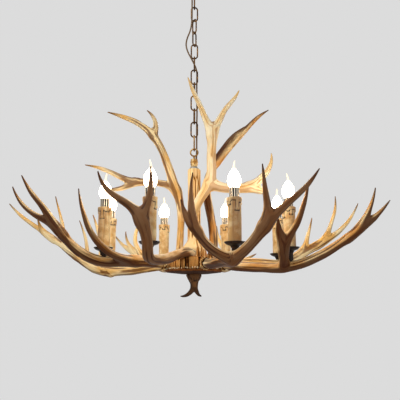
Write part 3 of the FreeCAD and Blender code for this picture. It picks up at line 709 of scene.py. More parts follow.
@dataclass(frozen=True)
class CandleWax:
    """Beige wax with brown streaks down it, painted shade on its side away from the lamp's axis and dark
    painted shade round the foot of its runs.
    """

    name: str
    pale: str
    ground: str
    brown: str
    dark: str

    def material(self) -> Material:
        """Builds the material on Object coordinates and the wax's stored values."""
        shader = Shader(self.name)
        place = shader.place()
        streak = shader.noise(place, (170, 170, 9), 4.0, 0.3)
        cloud = shader.noise(place, 55.0)
        speck = shader.noise(place, 420.0, 2.0)
        # Painted shade: a dark band round each run, where it meets the sleeve
        edge = (1.0 - shader.attribute("drip").between(0.0, 0.6)) * shader.attribute("outline")
        colour = shader.mix(cloud.between(0.35, 0.65), self.ground, self.pale)
        # The first mix is painted shade: brown on the side turned away from the lamp's axis
        for share, paint in ((shader.attribute("shade").between(-0.1, 1.1) * 0.6, self.brown),
                             (streak.between(0.50, 0.70) * 0.45, self.brown),
                             (speck.between(0.64, 0.74) * 0.6, self.dark),
                             (edge, self.dark)):
            colour = shader.mix(share, colour, paint)
        return shader.finish({
            "Base Color": colour,
            "Roughness": 0.42 + speck * 0.2,
            "Subsurface Weight": 0.08,
            "Subsurface Radius": (0.012, 0.007, 0.003),
            "Normal": shader.bump(streak * 0.5 + speck * 0.2, 0.0012, 0.7),
        })


@dataclass(frozen=True)
class LitGlass:
    """Flame-shaped glass of a lamp that is on: white body, its drawn-out tip only just aglow.

    Attributes:
        name: The material's name.
        core: Colour of the light from the body.
        tip: Colour at which the tip is seen.
        strength: How strongly the body shines.
    """

    name: str
    core: str
    tip: str
    strength: float

    def material(self) -> Material:
        """Builds the material on the glow attribute of the mesh."""
        shader = Shader(self.name)
        faint = (*[part / self.strength for part in tint(self.tip)[:3]], 1.0)
        light = shader.mix(shader.attribute("glow"), faint, self.core)
        return shader.finish({
            "Base Color": tint(self.tip),
            "Roughness": 0.12,
            "Coat Weight": 0.6,
            "Emission Color": light,
            "Emission Strength": self.strength,
        })


@dataclass(frozen=True)
class WovenCord:
    """A braided sleeve, gold-brown, on the piece's own lengthwise map, with painted highlight on its strands
    and painted shade between them.

    Attributes:
        name: The material's name.
        light: The strands, painted lighter as a highlight.
        dark: Painted shade in the gaps between them.
        strands: How many strands go round each way.
        twist: How fast they wind, in radians for each metre.
    """

    name: str
    light: str
    dark: str
    strands: int = 6
    twist: float = 900.0

    def material(self) -> Material:
        """Builds the braid from two crossed sets of strands on the UV map."""
        shader = Shader(self.name)
        weave = shader.add("ShaderNodeUVMap", {"uv_map": "weave"})
        split = shader.add("ShaderNodeSeparateXYZ", {}, {0: weave})
        across = split.part("X") * (self.strands * 2 * math.pi)
        along = split.part("Y") * self.twist
        strand = (across + along).math("SINE").math("MAXIMUM", (across - along).math("SINE"))
        fuzz = shader.noise(shader.place(), 2500.0, 2.0)
        # Painted highlight on the strands and painted shade in the gaps between them
        colour = shader.mix(strand.between(-0.2, 0.9), self.dark, self.light)
        return shader.finish({
            "Base Color": shader.mix(fuzz.between(0.4, 0.7) * 0.35, colour, self.dark),
            "Roughness": 0.62 + fuzz * 0.2,
            "Sheen Weight": 0.3,
            "Normal": shader.bump(strand * 0.5 + fuzz * 0.2, 0.0005, 0.9),
        })


@dataclass(frozen=True)
class MouldedPlastic:
    """Plain moulded plastic with a fine spark-eroded skin and slight unevenness of colour."""

    name: str
    colour: str
    deep: str

    def material(self) -> Material:
        """Builds the material on Object coordinates."""
        shader = Shader(self.name)
        place = shader.place()
        cloud = shader.noise(place, 60.0)
        skin = shader.noise(place, 1800.0, 2.0)
        return shader.finish({
            "Base Color": shader.mix(cloud.between(0.35, 0.7), self.colour, self.deep),
            "Roughness": 0.5 + skin * 0.15,
            "Normal": shader.bump(skin, 0.0002, 0.6),
        })


class Tone(Enum):
    """How an antler is painted; the tones are lit and shaded copies of one paint."""

    # BROWN and TAN are the shaded copies, GOLDEN and PALE the lit ones, each with painted shade away from the
    # candles
    GOLDEN = CastAntler("antler_golden", "ffe8b4", "ecb868", "6a340a", "5a2a0a", "623610", "d09a50",
                        (0.35, 0.95), 0.9, 0.5)
    PALE = CastAntler("antler_pale", "fff2ce", "f6d394", "b87634", "84480f", "e0b064", "f0cc8c",
                      (0.3, 0.85), 0.85, 0.28)
    TAN = CastAntler("antler_tan", "ffdea4", "d8984e", "482006", "4e2408", "462208", "b07a3c",
                     (-0.2, 0.38), 0.94, 0.5)
    BROWN = CastAntler("antler_brown", "ffe0ac", "cc965a", "3a1a08", "663a1a", "3c1c08", "ffecc0",
                       (-0.4, 0.08), 0.92, 0.45)


# ---- castings
TIP_RUN = 90.0  # length over which a point is painted
ROOT_RUN = 55.0  # length over which a thick end is painted
THIN_LIMB = 3.5  # radius below which grooves and bold paint have faded out
BOLD_LIMB = 9.5  # radius above which they are full
LEAST_GRAIN = 3.0  # radius that the grain of thinner limbs is laid out on
POINTED = 2.0  # a limb whose last radius is under this ends in a point
BLOCK = 4000  # places looked up at a time

Antlers = dict[str, tuple[Tone, Limbs]]


@dataclass
class Limb:
    """One limb of a casting, sampled along its smooth line.

    Attributes:
        centre: Places on its line, in millimetres.
        radius: Its radius at each place.
        length: How far each place is from the limb's own start.
        tangent: Direction at each place.
        side: A direction across, carried along without twist.
        start: How far the limb's start is from the casting's thick end.
        trunk: True for the limb that the others grow from.
    """

    centre: Array
    radius: Array
    length: Array
    tangent: Array
    side: Array
    start: float
    trunk: bool

    @classmethod
    def along(cls, balls: Sequence[Ball], older: Sequence["Limb"]) -> "Limb":
        """Samples a limb; a branch takes up the grain of the limb that it grows from.

        Args:
            balls: The limb's (x, y, z, radius) points.
            older: The limbs before it.

        Returns:
            The sampled limb.
        """
        run = spline_run(balls, 2.0)
        tangent = np.gradient(run[:, :3], axis=0)
        tangent /= np.linalg.norm(tangent, axis=1)[:, None]
        start = 0.0
        reference = np.array([1.0, 0, 0] if abs(tangent[0, 2]) > 0.9 else [0, 0, 1.0])
        if older:
            gaps = [np.linalg.norm(limb.centre - run[0, :3], axis=1) for limb in older]
            parent = min(range(len(older)), key=lambda number: gaps[number].min())
            joint = int(gaps[parent].argmin())
            start = older[parent].start + older[parent].length[joint]
            reference = older[parent].side[joint]
        return cls(run[:, :3], run[:, 3], run[:, -1], tangent, steady(tangent, reference), start, not older)

    def nearest(self, at: Array) -> Array:
        """The number of the sample nearest to each place."""
        found = np.empty(len(at), int)
        for first in range(0, len(at), BLOCK):
            block = at[first:first + BLOCK]
            square = (self.centre ** 2).sum(1) - 2 * block @ self.centre.T
            found[first:first + BLOCK] = np.argmin(square, axis=1)
        return found

    def read(self, at: Array) -> tuple[Array, Array, Array]:
        """What each place sees of this limb.

        Args:
            at: Places in millimetres, shape (n, 3).

        Returns:
            Distance outside the limb, unit push away from it, and rows of grain x, y and z, and of how far
            the place is tip, root and bulk.
        """
        near = self.nearest(at)
        half = self.length[1] / 2
        low = np.where(near == 0, 0, -half)
        high = np.where(near == len(self.centre) - 1, 0, half)
        offset = np.clip(((at - self.centre[near]) * self.tangent[near]).sum(1), low, high)
        away = at - self.centre[near] - self.tangent[near] * offset[:, None]
        span = np.linalg.norm(away, axis=1)
        gap = span - self.radius[near] - np.gradient(self.radius, self.length)[near] * offset
        push = away / np.maximum(span, 1e-6)[:, None]
        side = self.side[near]
        turn = np.arctan2((push * np.cross(self.tangent[near], side)).sum(1), (push * side).sum(1))
        ran = self.length[near] + offset
        radius = self.radius[near]
        girth = np.maximum(radius, LEAST_GRAIN)
        tip = (self.radius[-1] < POINTED) * np.clip(1 - (self.length[-1] - ran) / TIP_RUN, 0, 1)
        root = self.trunk * (1 - smooth_step(0, ROOT_RUN, ran))
        grain = [girth * np.cos(turn), girth * np.sin(turn), self.start + ran]
        bulk = smooth_step(THIN_LIMB, BOLD_LIMB, radius)
        return gap, push, np.stack([*grain, tip, root, bulk], axis=1)


@dataclass
class Casting:
    """A piece cast as limbs that melt into each other, with grooves along each limb.

    Attributes:
        name: The frame node that it stands for.
        limbs: Each limb's (x, y, z, radius) balls from its thick end out.
        finish: Its material.
        slot: The record's material slot.
        melt: How widely two limbs run together.
        groove: Depth of the lengthwise grooves.
        voxel: Size of the first skin's cells.
        cut_top: Height above which the casting is cut flat, or nothing.
        seed: Picks its grooves and lumps.
        rounds: How many times the skin is drawn onto the melted surface and smoothed.
    """

    name: str
    limbs: Limbs
    finish: Material
    slot: str
    melt: float = 6.0
    groove: float = 1.4
    voxel: float = 1.9
    cut_top: float | None = None
    seed: int = 0
    rounds: int = 4

    def __post_init__(self) -> None:
        """Samples the limbs."""
        self.lines: list[Limb] = []
        for balls in self.limbs:
            self.lines.append(Limb.along(balls, self.lines))

    def build(self) -> Piece:
        """Makes the casting: raw tubes, one skin, then every corner set on the melted surface."""
        raw = self.raw_tubes()
        skin = raw.modifiers.new("skin", "REMESH")
        skin.mode = "VOXEL"
        skin.voxel_size = self.voxel * MM
        graph = bpy.context.evaluated_depsgraph_get()
        mesh = bpy.data.meshes.new_from_object(raw.evaluated_get(graph), depsgraph=graph)
        bpy.data.objects.remove(raw)
        corners = mesh_corners(mesh)
        edges = np.zeros(len(mesh.edges) * 2, np.int32)
        mesh.edges.foreach_get("vertices", edges)
        for _ in range(self.rounds):
            distance, push, _ = self.field(corners)
            corners = self.relax(corners - push * distance[:, None], edges.reshape(-1, 2))
        distance, push, _ = self.field(corners)
        corners, values = self.carve(corners - push * distance[:, None])
        if self.cut_top is not None:
            corners[:, 2] = np.minimum(corners[:, 2], self.cut_top)
        mesh.vertices.foreach_set("co", (corners * MM).ravel())
        for name, value in values.items():
            store(mesh, name, value)
        mesh.shade_smooth()
        piece = new_piece(self.name + "_cast", mesh)
        return place_piece(piece, LAMP, self.finish, self.slot, self.name)

    def raw_tubes(self) -> Piece:
        """Sweeps each limb as a plain tapering tube, through a Geometry Nodes tree."""
        places, edges, radii = [], [], []
        for limb in self.lines:
            first = len(places)
            places += (limb.centre * MM).tolist()
            radii += (limb.radius * MM).tolist()
            edges += [(first + i, first + i + 1) for i in range(len(limb.centre) - 1)]
        source = bpy.data.meshes.new(self.name + "_lines")
        source.from_pydata(places, edges, [])
        source.attributes.new("thick", "FLOAT", "POINT").data.foreach_set("value", radii)
        tree = Pattern(self.name + "_tubes", {"Sides": 16})
        line = tree.add("GeometryNodeMeshToCurve", {}, {0: tree.entry})
        ring = tree.circle("Sides", 1.0)
        thick = tree.add("GeometryNodeInputNamedAttribute", {"data_type": "FLOAT"}, {"Name": "thick"})
        tube = tree.add("GeometryNodeCurveToMesh", {}, {0: line, 1: ring, "Scale": thick, "Fill Caps": True})
        tree.end(tube, self.finish)
        return tree.make(self.name + "_raw", source)

    def field(self, at: Array) -> tuple[Array, Array, Array]:
        """The distance to the melted surface and what each place reads from the limbs near it.

        Args:
            at: Places in millimetres, shape (n, 3).

        Returns:
            Distance outside the surface, unit push away from it, and the limbs' readings blended.
        """
        gap, pushes, readings = (np.array(part) for part in zip(*(limb.read(at) for limb in self.lines)))
        weight = np.exp(-(gap - gap.min(0)) / self.melt)
        distance = gap.min(0) - self.melt * np.log(weight.sum(0))
        push = (weight[:, :, None] * pushes).sum(0)
        push /= np.maximum(np.linalg.norm(push, axis=1), 1e-6)[:, None]
        sharper = weight ** 3
        reading = (sharper[:, :, None] * readings).sum(0) / sharper.sum(0)[:, None]
        return distance, push, reading

    @staticmethod
    def relax(corners: Array, edges: Array) -> Array:
        """Moves each corner halfway to the middle of its neighbours."""
        near, far = np.concatenate([edges, edges[:, ::-1]]).T
        count = np.bincount(near, minlength=len(corners))
        total = [np.bincount(near, corners[far, axis], len(corners)) for axis in range(3)]
        return (corners + np.stack(total, axis=1) / count[:, None]) / 2

    def carve(self, corners: Array) -> tuple[Array, dict[str, Array]]:
        """Cuts the lengthwise grooves and raises the knobs near the thick end.

        Args:
            corners: Places on the melted surface.

        Returns:
            The carved places, and the values that the paint and the painted shade follow.
        """
        _, push, reading = self.field(corners)
        grain, (tip, root, bulk) = reading[:, :3], reading[:, 3:].T
        # Each scale is in cells for a millimetre: twice across the grain, then along it.
        wander = smooth_noise(grain * [0.12, 0.12, 0.02], self.seed + 3)
        lines = smooth_noise(grain * [0.24, 0.24, 0.010] + wander[:, None] * 0.6, self.seed)
        fine = smooth_noise(grain * [0.5, 0.5, 0.03], self.seed + 1) * bulk
        groove = smooth_step(0.0, 0.6, -lines) * bulk
        lumps = smooth_noise(grain * [0.16, 0.16, 0.035], self.seed + 2)
        pearls = np.maximum(smooth_noise(grain * [0.30, 0.30, 0.28], self.seed + 5), 0)
        rise = -groove * self.groove + fine * 0.22 * (1 - tip) + lumps * 0.7 * (1 - tip) + pearls * root * 2.0
        # Painted shade: 1 where the surface faces away from the candles, -1 where it faces them
        shade = -(push * toward_flames(corners)).sum(1)
        return corners + push * rise[:, None], {
            "grain": grain * MM, "groove": groove, "tip": tip, "root": root, "bulk": bulk, "shade": shade}


@dataclass
class AntlerRack:
    """All the antlers, as cast pieces over the frame's plain ones.

    Attributes:
        antlers: Each antler's paint and limbs, by its frame node's name.
    """

    antlers: Antlers

    def build(self) -> None:
        """Casts each antler with its own tone and seed."""
        finishes = {tone: tone.value.material() for tone in Tone}
        for number, (name, (tone, limbs)) in enumerate(self.antlers.items()):
            slot = "antler_resin_dark" if tone is Tone.BROWN else "antler_resin"
            Casting(name, limbs, finishes[tone], slot, seed=11 * number).build()


ANTLERS: Antlers = {
    "antler_right_front": (Tone.TAN, (
        ((68.4, -28.3, -856, 11), (105, -44, -862, 13), (165, -70, -868, 13), (240, -99, -867, 12.5),
         (311, -125, -842, 12), (383, -140, -797, 10), (444, -150, -751, 7), (486, -150, -706, 1.3)),
        ((380, -140, -799, 8), (404, -145, -776, 8), (430, -155, -733, 6), (448, -160, -676, 1.3)),
        ((225, -94, -866, 10), (224, -120, -845, 11.5), (219, -135, -816, 12), (210, -150, -786, 9.5),
         (206, -160, -750, 1.3)),
        ((221, -130, -827, 10), (232, -145, -800, 10), (252, -157, -766, 8), (270, -165, -718, 6),
         (283, -170, -658, 1.3)))),
    "antler_right_back": (Tone.GOLDEN, (
        ((68.4, 28.3, -850, 11), (115, 48, -849, 13.5), (190, 78, -848, 14), (240, 98, -849, 13.5),
         (305, 112, -824, 12.5), (374, 130, -786, 10), (430, 145, -752, 7.5), (470, 154, -712, 5),
         (502, 160, -658, 1.3)),
        ((300, 110, -824, 8), (318, 116, -806, 7.5), (335, 125, -767, 5.5), (352, 130, -708, 1.3)),
        ((362, 127, -793, 8), (386, 133, -772, 7.5), (408, 136, -730, 6), (421, 131, -690, 4.5),
         (423, 125, -643, 1.3)))),
    "antler_front_right": (Tone.BROWN, (
        ((28.3, -68.4, -856, 11), (48, -115, -860, 13), (72, -180, -859, 14), (94, -237, -856, 14),
         (127, -265, -828, 12), (152, -275, -797, 12.5), (168, -279, -771, 11.5)),
        ((161, -277, -785, 10.5), (165, -282, -752, 9), (161, -287, -715, 7), (155, -290, -649, 1.3)),
        ((158, -276, -788, 10.5), (184, -281, -762, 9.5), (215, -286, -734, 8), (251, -290, -701, 6.2),
         (281, -295, -661, 1.3)),
        ((92, -234, -857, 12), (68, -244, -851, 12), (46, -245, -838, 11), (20, -245, -811, 10),
         (4, -245, -775, 8.5), (-3, -245, -735, 7), (0, -245, -658, 1.3)),
        ((10, -244, -796, 8), (-6, -241, -781, 7), (-18, -237, -755, 5.5), (-28, -231, -719, 1.3)))),
    "antler_front_left": (Tone.BROWN, (
        ((-4, -44, -829, 11), (-15, -64, -827, 12.5), (-35, -100, -834, 12), (-60, -155, -850, 12.5),
         (-86, -220, -858, 12.5), (-98, -258, -852, 12.5), (-99, -276, -828, 12), (-107, -280, -790, 13),
         (-116, -280, -768, 12.5)),
        ((-112, -280, -780, 10.5), (-130, -282, -752, 10), (-153, -283, -734, 8.5), (-189, -284, -708, 6.2),
         (-212, -284, -664, 1.3)),
        ((-113, -280, -778, 10), (-106, -282, -756, 9.5), (-97, -284, -728, 7.5), (-93, -284, -692, 5.5),
         (-94, -284, -653, 1.3)))),
    "antler_left_front": (Tone.TAN, (
        ((-68.4, -28.3, -856, 11), (-105, -44, -853, 13), (-165, -70, -851, 14), (-236, -97, -852, 14),
         (-285, -130, -829, 12.5), (-325, -150, -785, 10.5), (-364, -160, -730, 8), (-396, -161, -692, 6),
         (-425, -160, -645, 1.3)),
        ((-318, -148, -793, 9), (-350, -151, -765, 8), (-397, -146, -739, 6.5), (-426, -145, -713, 5),
         (-451, -145, -670, 1.3)),
        ((-150, -66, -851, 10), (-178, -95, -846, 10.5), (-205, -122, -835, 10), (-240, -141, -803, 8.5),
         (-264, -148, -756, 6.5), (-286, -145, -675, 1.3)))),
    "antler_left_back": (Tone.GOLDEN, (
        ((-68.4, 28.3, -856, 11), (-115, 48, -861, 12), (-175, 74, -868, 13), (-237, 97, -869, 13),
         (-290, 110, -859, 12.5), (-352, 130, -821, 11), (-419, 150, -776, 9), (-486, 165, -731, 7),
         (-537, 174, -695, 5), (-578, 180, -655, 1.3)),
        ((-424, 150, -773, 7), (-447, 150, -756, 6.5), (-463, 148, -738, 5), (-475, 145, -704, 1.3)),
        ((-350, 130, -822, 7), (-373, 136, -800, 7), (-394, 132, -735, 5.5), (-419, 126, -643, 1.3)),
        ((-292, 110, -858, 7), (-307, 114, -838, 7), (-316, 108, -790, 5), (-338, 100, -720, 1.3)),
        ((-266, 104, -863, 8), (-274, 122, -838, 7.5), (-280, 136, -790, 6), (-291, 140, -745, 5),
         (-308, 142, -696, 1.3)),
        ((-262, 103, -862, 9), (-250, 98, -872, 7.5), (-241, 95, -881, 4)))),
    "antler_back_left": (Tone.GOLDEN, (
        ((-28.3, 68.4, -856, 11), (-48, 115, -854, 13), (-75, 180, -853, 14), (-98, 237, -852, 14),
         (-140, 295, -832, 12), (-190, 335, -805, 9.5), (-235, 358, -778, 7), (-280, 372, -730, 1.3)),
        ((-190, 335, -805, 7), (-210, 342, -785, 7), (-228, 345, -760, 5), (-236, 345, -722, 1.3)),
        ((-140, 295, -832, 8), (-175, 312, -805, 8), (-201, 325, -755, 7), (-195, 331, -714, 5.5),
         (-178, 335, -660, 1.3)))),
    "antler_back_right": (Tone.GOLDEN, (
        ((28.3, 68.4, -856, 11), (48, 115, -854, 13), (75, 180, -853, 14), (98, 237, -852, 14),
         (118, 295, -835, 12), (128, 340, -805, 9.5), (134, 372, -765, 7), (142, 392, -705, 1.3)),
        ((124, 318, -822, 8), (100, 348, -792, 7.5), (82, 366, -752, 5.5), (74, 372, -700, 1.3)),
        ((110, 270, -844, 8), (142, 288, -832, 7.5), (172, 312, -818, 6), (205, 330, -800, 1.3)))),
    "antler_upper_left": (Tone.GOLDEN, (
        ((-42, 26, -843, 12.5), (-39, 28, -800, 10.5), (-37, 30, -744, 10), (-41, 30, -680, 12),
         (-63, 30, -610, 12.5), (-91, 25, -534, 10.5), (-123, 20, -482, 10), (-169, 15, -448, 8),
         (-206, 10, -434, 6), (-249, 5, -422, 1.3)),
        ((-118, 20, -488, 8), (-111, 25, -460, 7.5), (-120, 30, -428, 5), (-140, 35, -405, 1.3)),
        ((-48, 30, -650, 10), (-83, 45, -625, 9.5), (-127, 60, -616, 9.5), (-178, 68, -611, 10),
         (-223, 75, -593, 7.5), (-268, 80, -572, 6), (-326, 85, -557, 1.3)),
        ((-170, 67, -612, 8), (-196, 70, -625, 7.5), (-225, 68, -634, 6), (-261, 64, -634, 1.3)))),
    "antler_upper_front": (Tone.PALE, (
        ((0, -12, -716, 10), (4, -27, -709, 11.5), (15, -36, -685, 12.5), (34, -38, -655, 13.5),
         (46, -39, -625, 13.5), (47, -40, -575, 12.5), (49, -42, -520, 13), (49, -45, -492, 12)),
        ((49, -44, -502, 10.5), (30, -50, -457, 9), (12, -58, -415, 7.5), (-4, -66, -383, 5.2),
         (-17, -72, -349, 1.3)),
        ((49, -44, -502, 10.5), (70, -46, -463, 9), (90, -46, -428, 7.5), (111, -43, -401, 5.2),
         (126, -40, -374, 1.3)),
        ((40, -38, -640, 12.5), (70, -36, -649, 13.5), (98, -31, -652, 13), (147, -25, -647, 12.5),
         (187, -20, -618, 9.5), (210, -15, -586, 6.5), (215, -10, -547, 1.3)),
        ((150, -25, -647, 11), (176, -22, -655, 10.5), (192, -20, -658, 9), (203, -19, -657, 5)))),
    "antler_upper_back": (Tone.TAN, (
        ((48, 34, -843, 13), (54, 36, -800, 12.5), (48, 42, -723, 12), (38, 48, -670, 11.5),
         (37, 54, -620, 11), (62, 62, -558, 11), (103, 70, -508, 9.5), (160, 80, -442, 7.5),
         (192, 86, -408, 5.5), (225, 90, -384, 1.3)),
        ((64, 62, -553, 8.5), (84, 66, -520, 9), (104, 71, -489, 8.5), (124, 76, -466, 6.5),
         (144, 81, -450, 3)))),
}


# ---- burrs
@dataclass
class Burrs:
    """The pearled rings at the antlers' thick ends: a low coronet strewn with knobs.

    Attributes:
        antlers: The antlers, whose first limbs give the rings' places.
        plain: Antlers whose thick end is smooth.
        stand_off: How far along the antler a ring's middle is.
        depth: Length of a ring along the antler.
        proud: Added to the antler's radius to give the ring's.
        columns: Corners round a ring.
        pearl: Radius of a pearl.
        spacing: Least distance between pearls.
        density: Most pearls for each square metre.
    """

    antlers: Antlers
    plain: Sequence[str] = ("antler_upper_front", "antler_front_left")
    stand_off: float = 11.0
    depth: float = 10.0
    proud: float = 1.5
    columns: int = 36
    pearl: float = 2.7
    spacing: float = 3.6
    density: float = 60000.0

    def build(self) -> None:
        """Makes one coronet with its pearls for each antler."""
        material = CarvedResin("burr_painted", "f0cf90", "a06c34", "301a0c", (300.0, 300.0, 300.0)).material()
        for number, (name, (_, limbs)) in enumerate(self.antlers.items()):
            if name in self.plain:
                continue
            first, second = Vector(limbs[0][0][:3]), Vector(limbs[0][1][:3])
            radius = limbs[0][0][3] + self.proud
            axis = (second - first).normalized()
            ring = self.coronet(first + axis * self.stand_off, axis, radius)
            piece = self.strew(name.replace("antler", "burr"), number, ring, material)
            store(piece.data, "depth", self.height_on(piece, first, axis, radius))
            place_piece(piece, LAMP, material, "antler_resin")

    def strew(self, name: str, seed: int, ring: Mesh, material: Material) -> Piece:
        """Strews pearls of uneven size over a ring, through a Geometry Nodes tree."""
        tree = Pattern(name + "_pearls", {"Pearl radius": self.pearl * MM, "Spacing": self.spacing * MM,
                                          "Seed": seed})
        points = tree.add("GeometryNodeDistributePointsOnFaces", {"distribute_method": "POISSON"}, {
            "Mesh": tree.entry, "Distance Min": "Spacing", "Density Max": self.density, "Seed": "Seed"})
        pearl = tree.add("GeometryNodeMeshIcoSphere", {}, {"Radius": "Pearl radius", "Subdivisions": 2})
        scale = tree.random((0.45, 0.45, 0.5), (1.15, 1.15, 1.6))
        strewn = tree.copies(pearl, points, Rotation=points.part("Rotation"), Scale=scale)
        tree.end(tree.join(tree.entry, strewn), material)
        return tree.make(name, ring)

    @staticmethod
    def height_on(piece: Piece, start: Vector, axis: Vector, radius: float) -> Array:
        """How far each corner stands out of its ring: 0 in the hollows, 1 on the pearls' heads."""
        away = mesh_corners(piece.data) - np.array(start)
        along = np.array(axis)
        out = np.linalg.norm(away - (away @ along)[:, None] * along, axis=1)
        return np.clip((out - radius * 1.05) / (radius * 0.32), 0, 1)

    def coronet(self, centre: Vector, axis: Vector, radius: float) -> Mesh:
        """A low swelling ring round a limb, as the mesh that the pearls are strewn on."""
        side = axis.cross(Vector((0, 0, 1)) if abs(axis.z) < 0.9 else Vector((1, 0, 0))).normalized()
        other = axis.cross(side)
        rows = [(-0.5, 0.82), (-0.35, 1.06), (0.0, 1.18), (0.35, 1.04), (0.5, 0.82)]
        corners = []
        for along_share, wide in rows:
            for step in range(self.columns):
                turn = 2 * math.pi * step / self.columns
                out = radius * wide * (1 + 0.06 * math.sin(5 * turn + radius))
                corners.append(centre + axis * (along_share * self.depth)
                               + (side * math.cos(turn) + other * math.sin(turn)) * out)
        return closed_mesh("coronet", np.array(corners), ring_faces(len(rows), self.columns, True))


# ---- post and hub
LID_DEPTH = 0.45  # a flat top is painted as if it lay at least this far up from hollow to ridge


@dataclass
class Post:
    """The carved post, its brass cap, the slatted hub, the beaded rim and the bell with two tines."""

    collar_top: float = -563.0
    collar_foot: float = -585.0
    column_top: float = -592.0
    column_radius: float = 18.0
    foot_radius: float = 32.0
    foot_top: float = -808.0
    hub_top: float = -838.0
    hub_bottom: float = -870.0
    hub_radius: float = 70.0
    plate_radius: float = 78.0
    finial_top: float = -882.0
    finial_tip: float = -942.0

    def build(self) -> None:
        """Builds every piece of the post from the top down."""
        golden = CarvedResin("post_carved", "ffe0a6", "dca054", "4c2208").material()
        # The hub's near-black hollow is dark wash and painted shade: it fills the cuts between the bark
        # blocks and the slats' sides towards the drum
        barky = CarvedResin("hub_carved", "e0a45c", "8c5220", "160903", (140.0, 140.0, 30.0)).material()
        dark = CarvedResin("rim_dark", "8a5228", "5c3216", "3c2010", (110.0, 110.0, 110.0)).material()
        self.collar()
        self.column(golden)
        self.drum(barky)
        self.slats("hub_slats", barky, self.hub_radius - 1.0, 62, (-863.0, -853.0), (2.4, 5.4), 5)
        self.slats("foot_slats", barky, self.foot_radius - 1.0, 30, (-831.0, -824.0), (2.6, 5.6), 6)
        self.plate(dark)
        self.beads()
        self.finial()

    @staticmethod
    def store_depth(piece: Piece, radius: float | Callable[[Array], Array], deep: float,
                    lid: float = math.inf) -> None:
        """Stores how deep each corner lies under the uncarved radius, 1 on the ridge and 0 in the hollow.

        Args:
            piece: The carved piece.
            radius: Its uncarved radius, or a function that gives it at each height.
            deep: Depth at which the hollow's paint is full.
            lid: Height above which the corners belong to a flat top.
        """
        corners = mesh_corners(piece.data)
        out = np.hypot(corners[:, 0], corners[:, 1])
        uncarved = radius(corners[:, 2]) if callable(radius) else radius
        depth = np.clip(1 - (uncarved - out) / deep, 0, 1)
        store(piece.data, "depth", np.where(corners[:, 2] > lid, np.maximum(depth, LID_DEPTH), depth))

    def collar(self) -> None:
        """The turned cap on the post: three pale gilt rings and a bright cupped foot."""
        top, neck, foot = self.collar_top, self.collar_foot, self.column_top
        rings = ((0, 0), (8.5, 0), (9.8, 0.5), (10.2, 1.6), (10.2, 3.9), (9.2, 5.2), (10.4, 6.4), (10.8, 7.4),
                 (10.8, 9.6), (9.5, 11.4), (10.2, 12.4), (10.6, 13.2), (10.6, 14.9), (9.6, 16.6))
        gilt = [(radius, top - down) for radius, down in rings] + [(9.6, neck), (0, neck)]
        bright = [(0, neck), (9.6, neck), (10.4, neck - 0.8), (12.6, foot + 3.8), (13, foot + 3), (13, foot),
                  (0, foot)]

        def knurl(turn: Array, height: Array) -> Array:
            """Fine teeth round the second ring."""
            return np.where(np.abs(height - top + 8.5) < 1.3, 0.2 * np.cos(36 * turn), 0.0)

        metal = AgedMetal("collar_gilt", "a8742a", "f4dca0", 0.55, 0.30, 1.0).material()
        steel = AgedMetal("collar_foot_bright", "8f8b82", "d8d4c8", 0.9, 0.25, 0.8).material()
        piece = Turning(gilt, 96, swell=knurl, step=1.2, sharp=50).build("stem_collar_turned")
        place_piece(piece, LAMP, metal, "collar_brass", "stem_collar")
        piece = Turning(bright, 96, step=2.0, sharp=50).build("stem_collar_foot")
        place_piece(piece, LAMP, steel, "collar_brass")

    def column(self, material: Material) -> None:
        """The post, carved with long wandering ridges like bark, on its spreading foot."""
        radius, foot = self.column_radius, self.foot_radius
        heights = [self.column_top, self.column_top - 3, self.foot_top + 26, self.foot_top + 12,
                   self.foot_top, self.foot_top - 5, self.hub_top]
        radii = [radius - 2, radius, radius, radius + 3, foot - 3, foot, foot]

        def outline(height: Array) -> Array:
            """The uncarved radius."""
            return np.interp(-height, [-value for value in heights], radii)

        def carved(turn: Array, height: Array) -> Array:
            """Ridges that run up the post and fork here and there."""
            at = around(turn, height, 3.2, 0.012)
            wander = smooth_noise(at * [1, 1, 2.5], 41)
            ridge = np.abs(smooth_noise(at * [1.3, 1.3, 1] + wander[:, None] * 0.35, 42))
            fine = smooth_noise(at * [3.4, 3.4, 3.5], 43)
            return -2.6 * (1 - smooth_step(0.0, 0.42, ridge)) + fine * 0.35 - 0.2

        profile = [(0, self.column_top)] + list(zip(radii, heights)) + [(0, self.hub_top)]
        piece = Turning(profile, 132, swell=carved, step=3.0, sharp=70).build("column_carved")
        self.store_depth(piece, outline, 3.0)
        place_piece(piece, LAMP, material, "column_resin", "column")

    def drum(self, material: Material) -> None:
        """The drum, cut into upright blocks of bark."""
        radius, top, bottom = self.hub_radius, self.hub_top, self.hub_bottom

        def bark(turn: Array, height: Array) -> Array:
            """Deep cuts between the blocks."""
            at = around(turn, height, 9, 0.02)
            block = np.abs(smooth_noise(at, 51))
            return -3.4 * (1 - smooth_step(0.05, 0.35, block)) + smooth_noise(at * [3, 3, 8], 52) * 0.5

        profile = [(0, top), (radius - 5, top), (radius - 1, top - 2), (radius, top - 5), (radius, bottom),
                   (0, bottom)]
        drum = Turning(profile, 240, swell=bark, step=2.5, sharp=70).build("hub_drum_bark")
        self.store_depth(drum, radius, 4.0, top - 1.0)
        place_piece(drum, LAMP, material, "hub_resin", "hub_drum")

    def plate(self, material: Material) -> None:
        """The dished plate under the drum, with a ragged, chipped rim."""
        rim, top, foot = self.plate_radius, self.hub_bottom - 0.2, self.finial_top
        profile = [(0, top), (rim - 3, top), (rim - 0.5, top - 1.2), (rim, top - 3.0), (rim - 0.8, top - 4.8),
                   (rim - 4, top - 6.8), (rim - 14, top - 8), (60, top - 8.4), (39, top - 10.8), (20, foot),
                   (0, foot)]

        def ragged(turn: Array, height: Array) -> Array:
            """Notches and lumps round the rim."""
            at = around(turn, height, 11, 0.25)
            return smooth_noise(at, 61) * 1.8 + smooth_noise(at * 2.7, 62) * 0.8 - 1.2

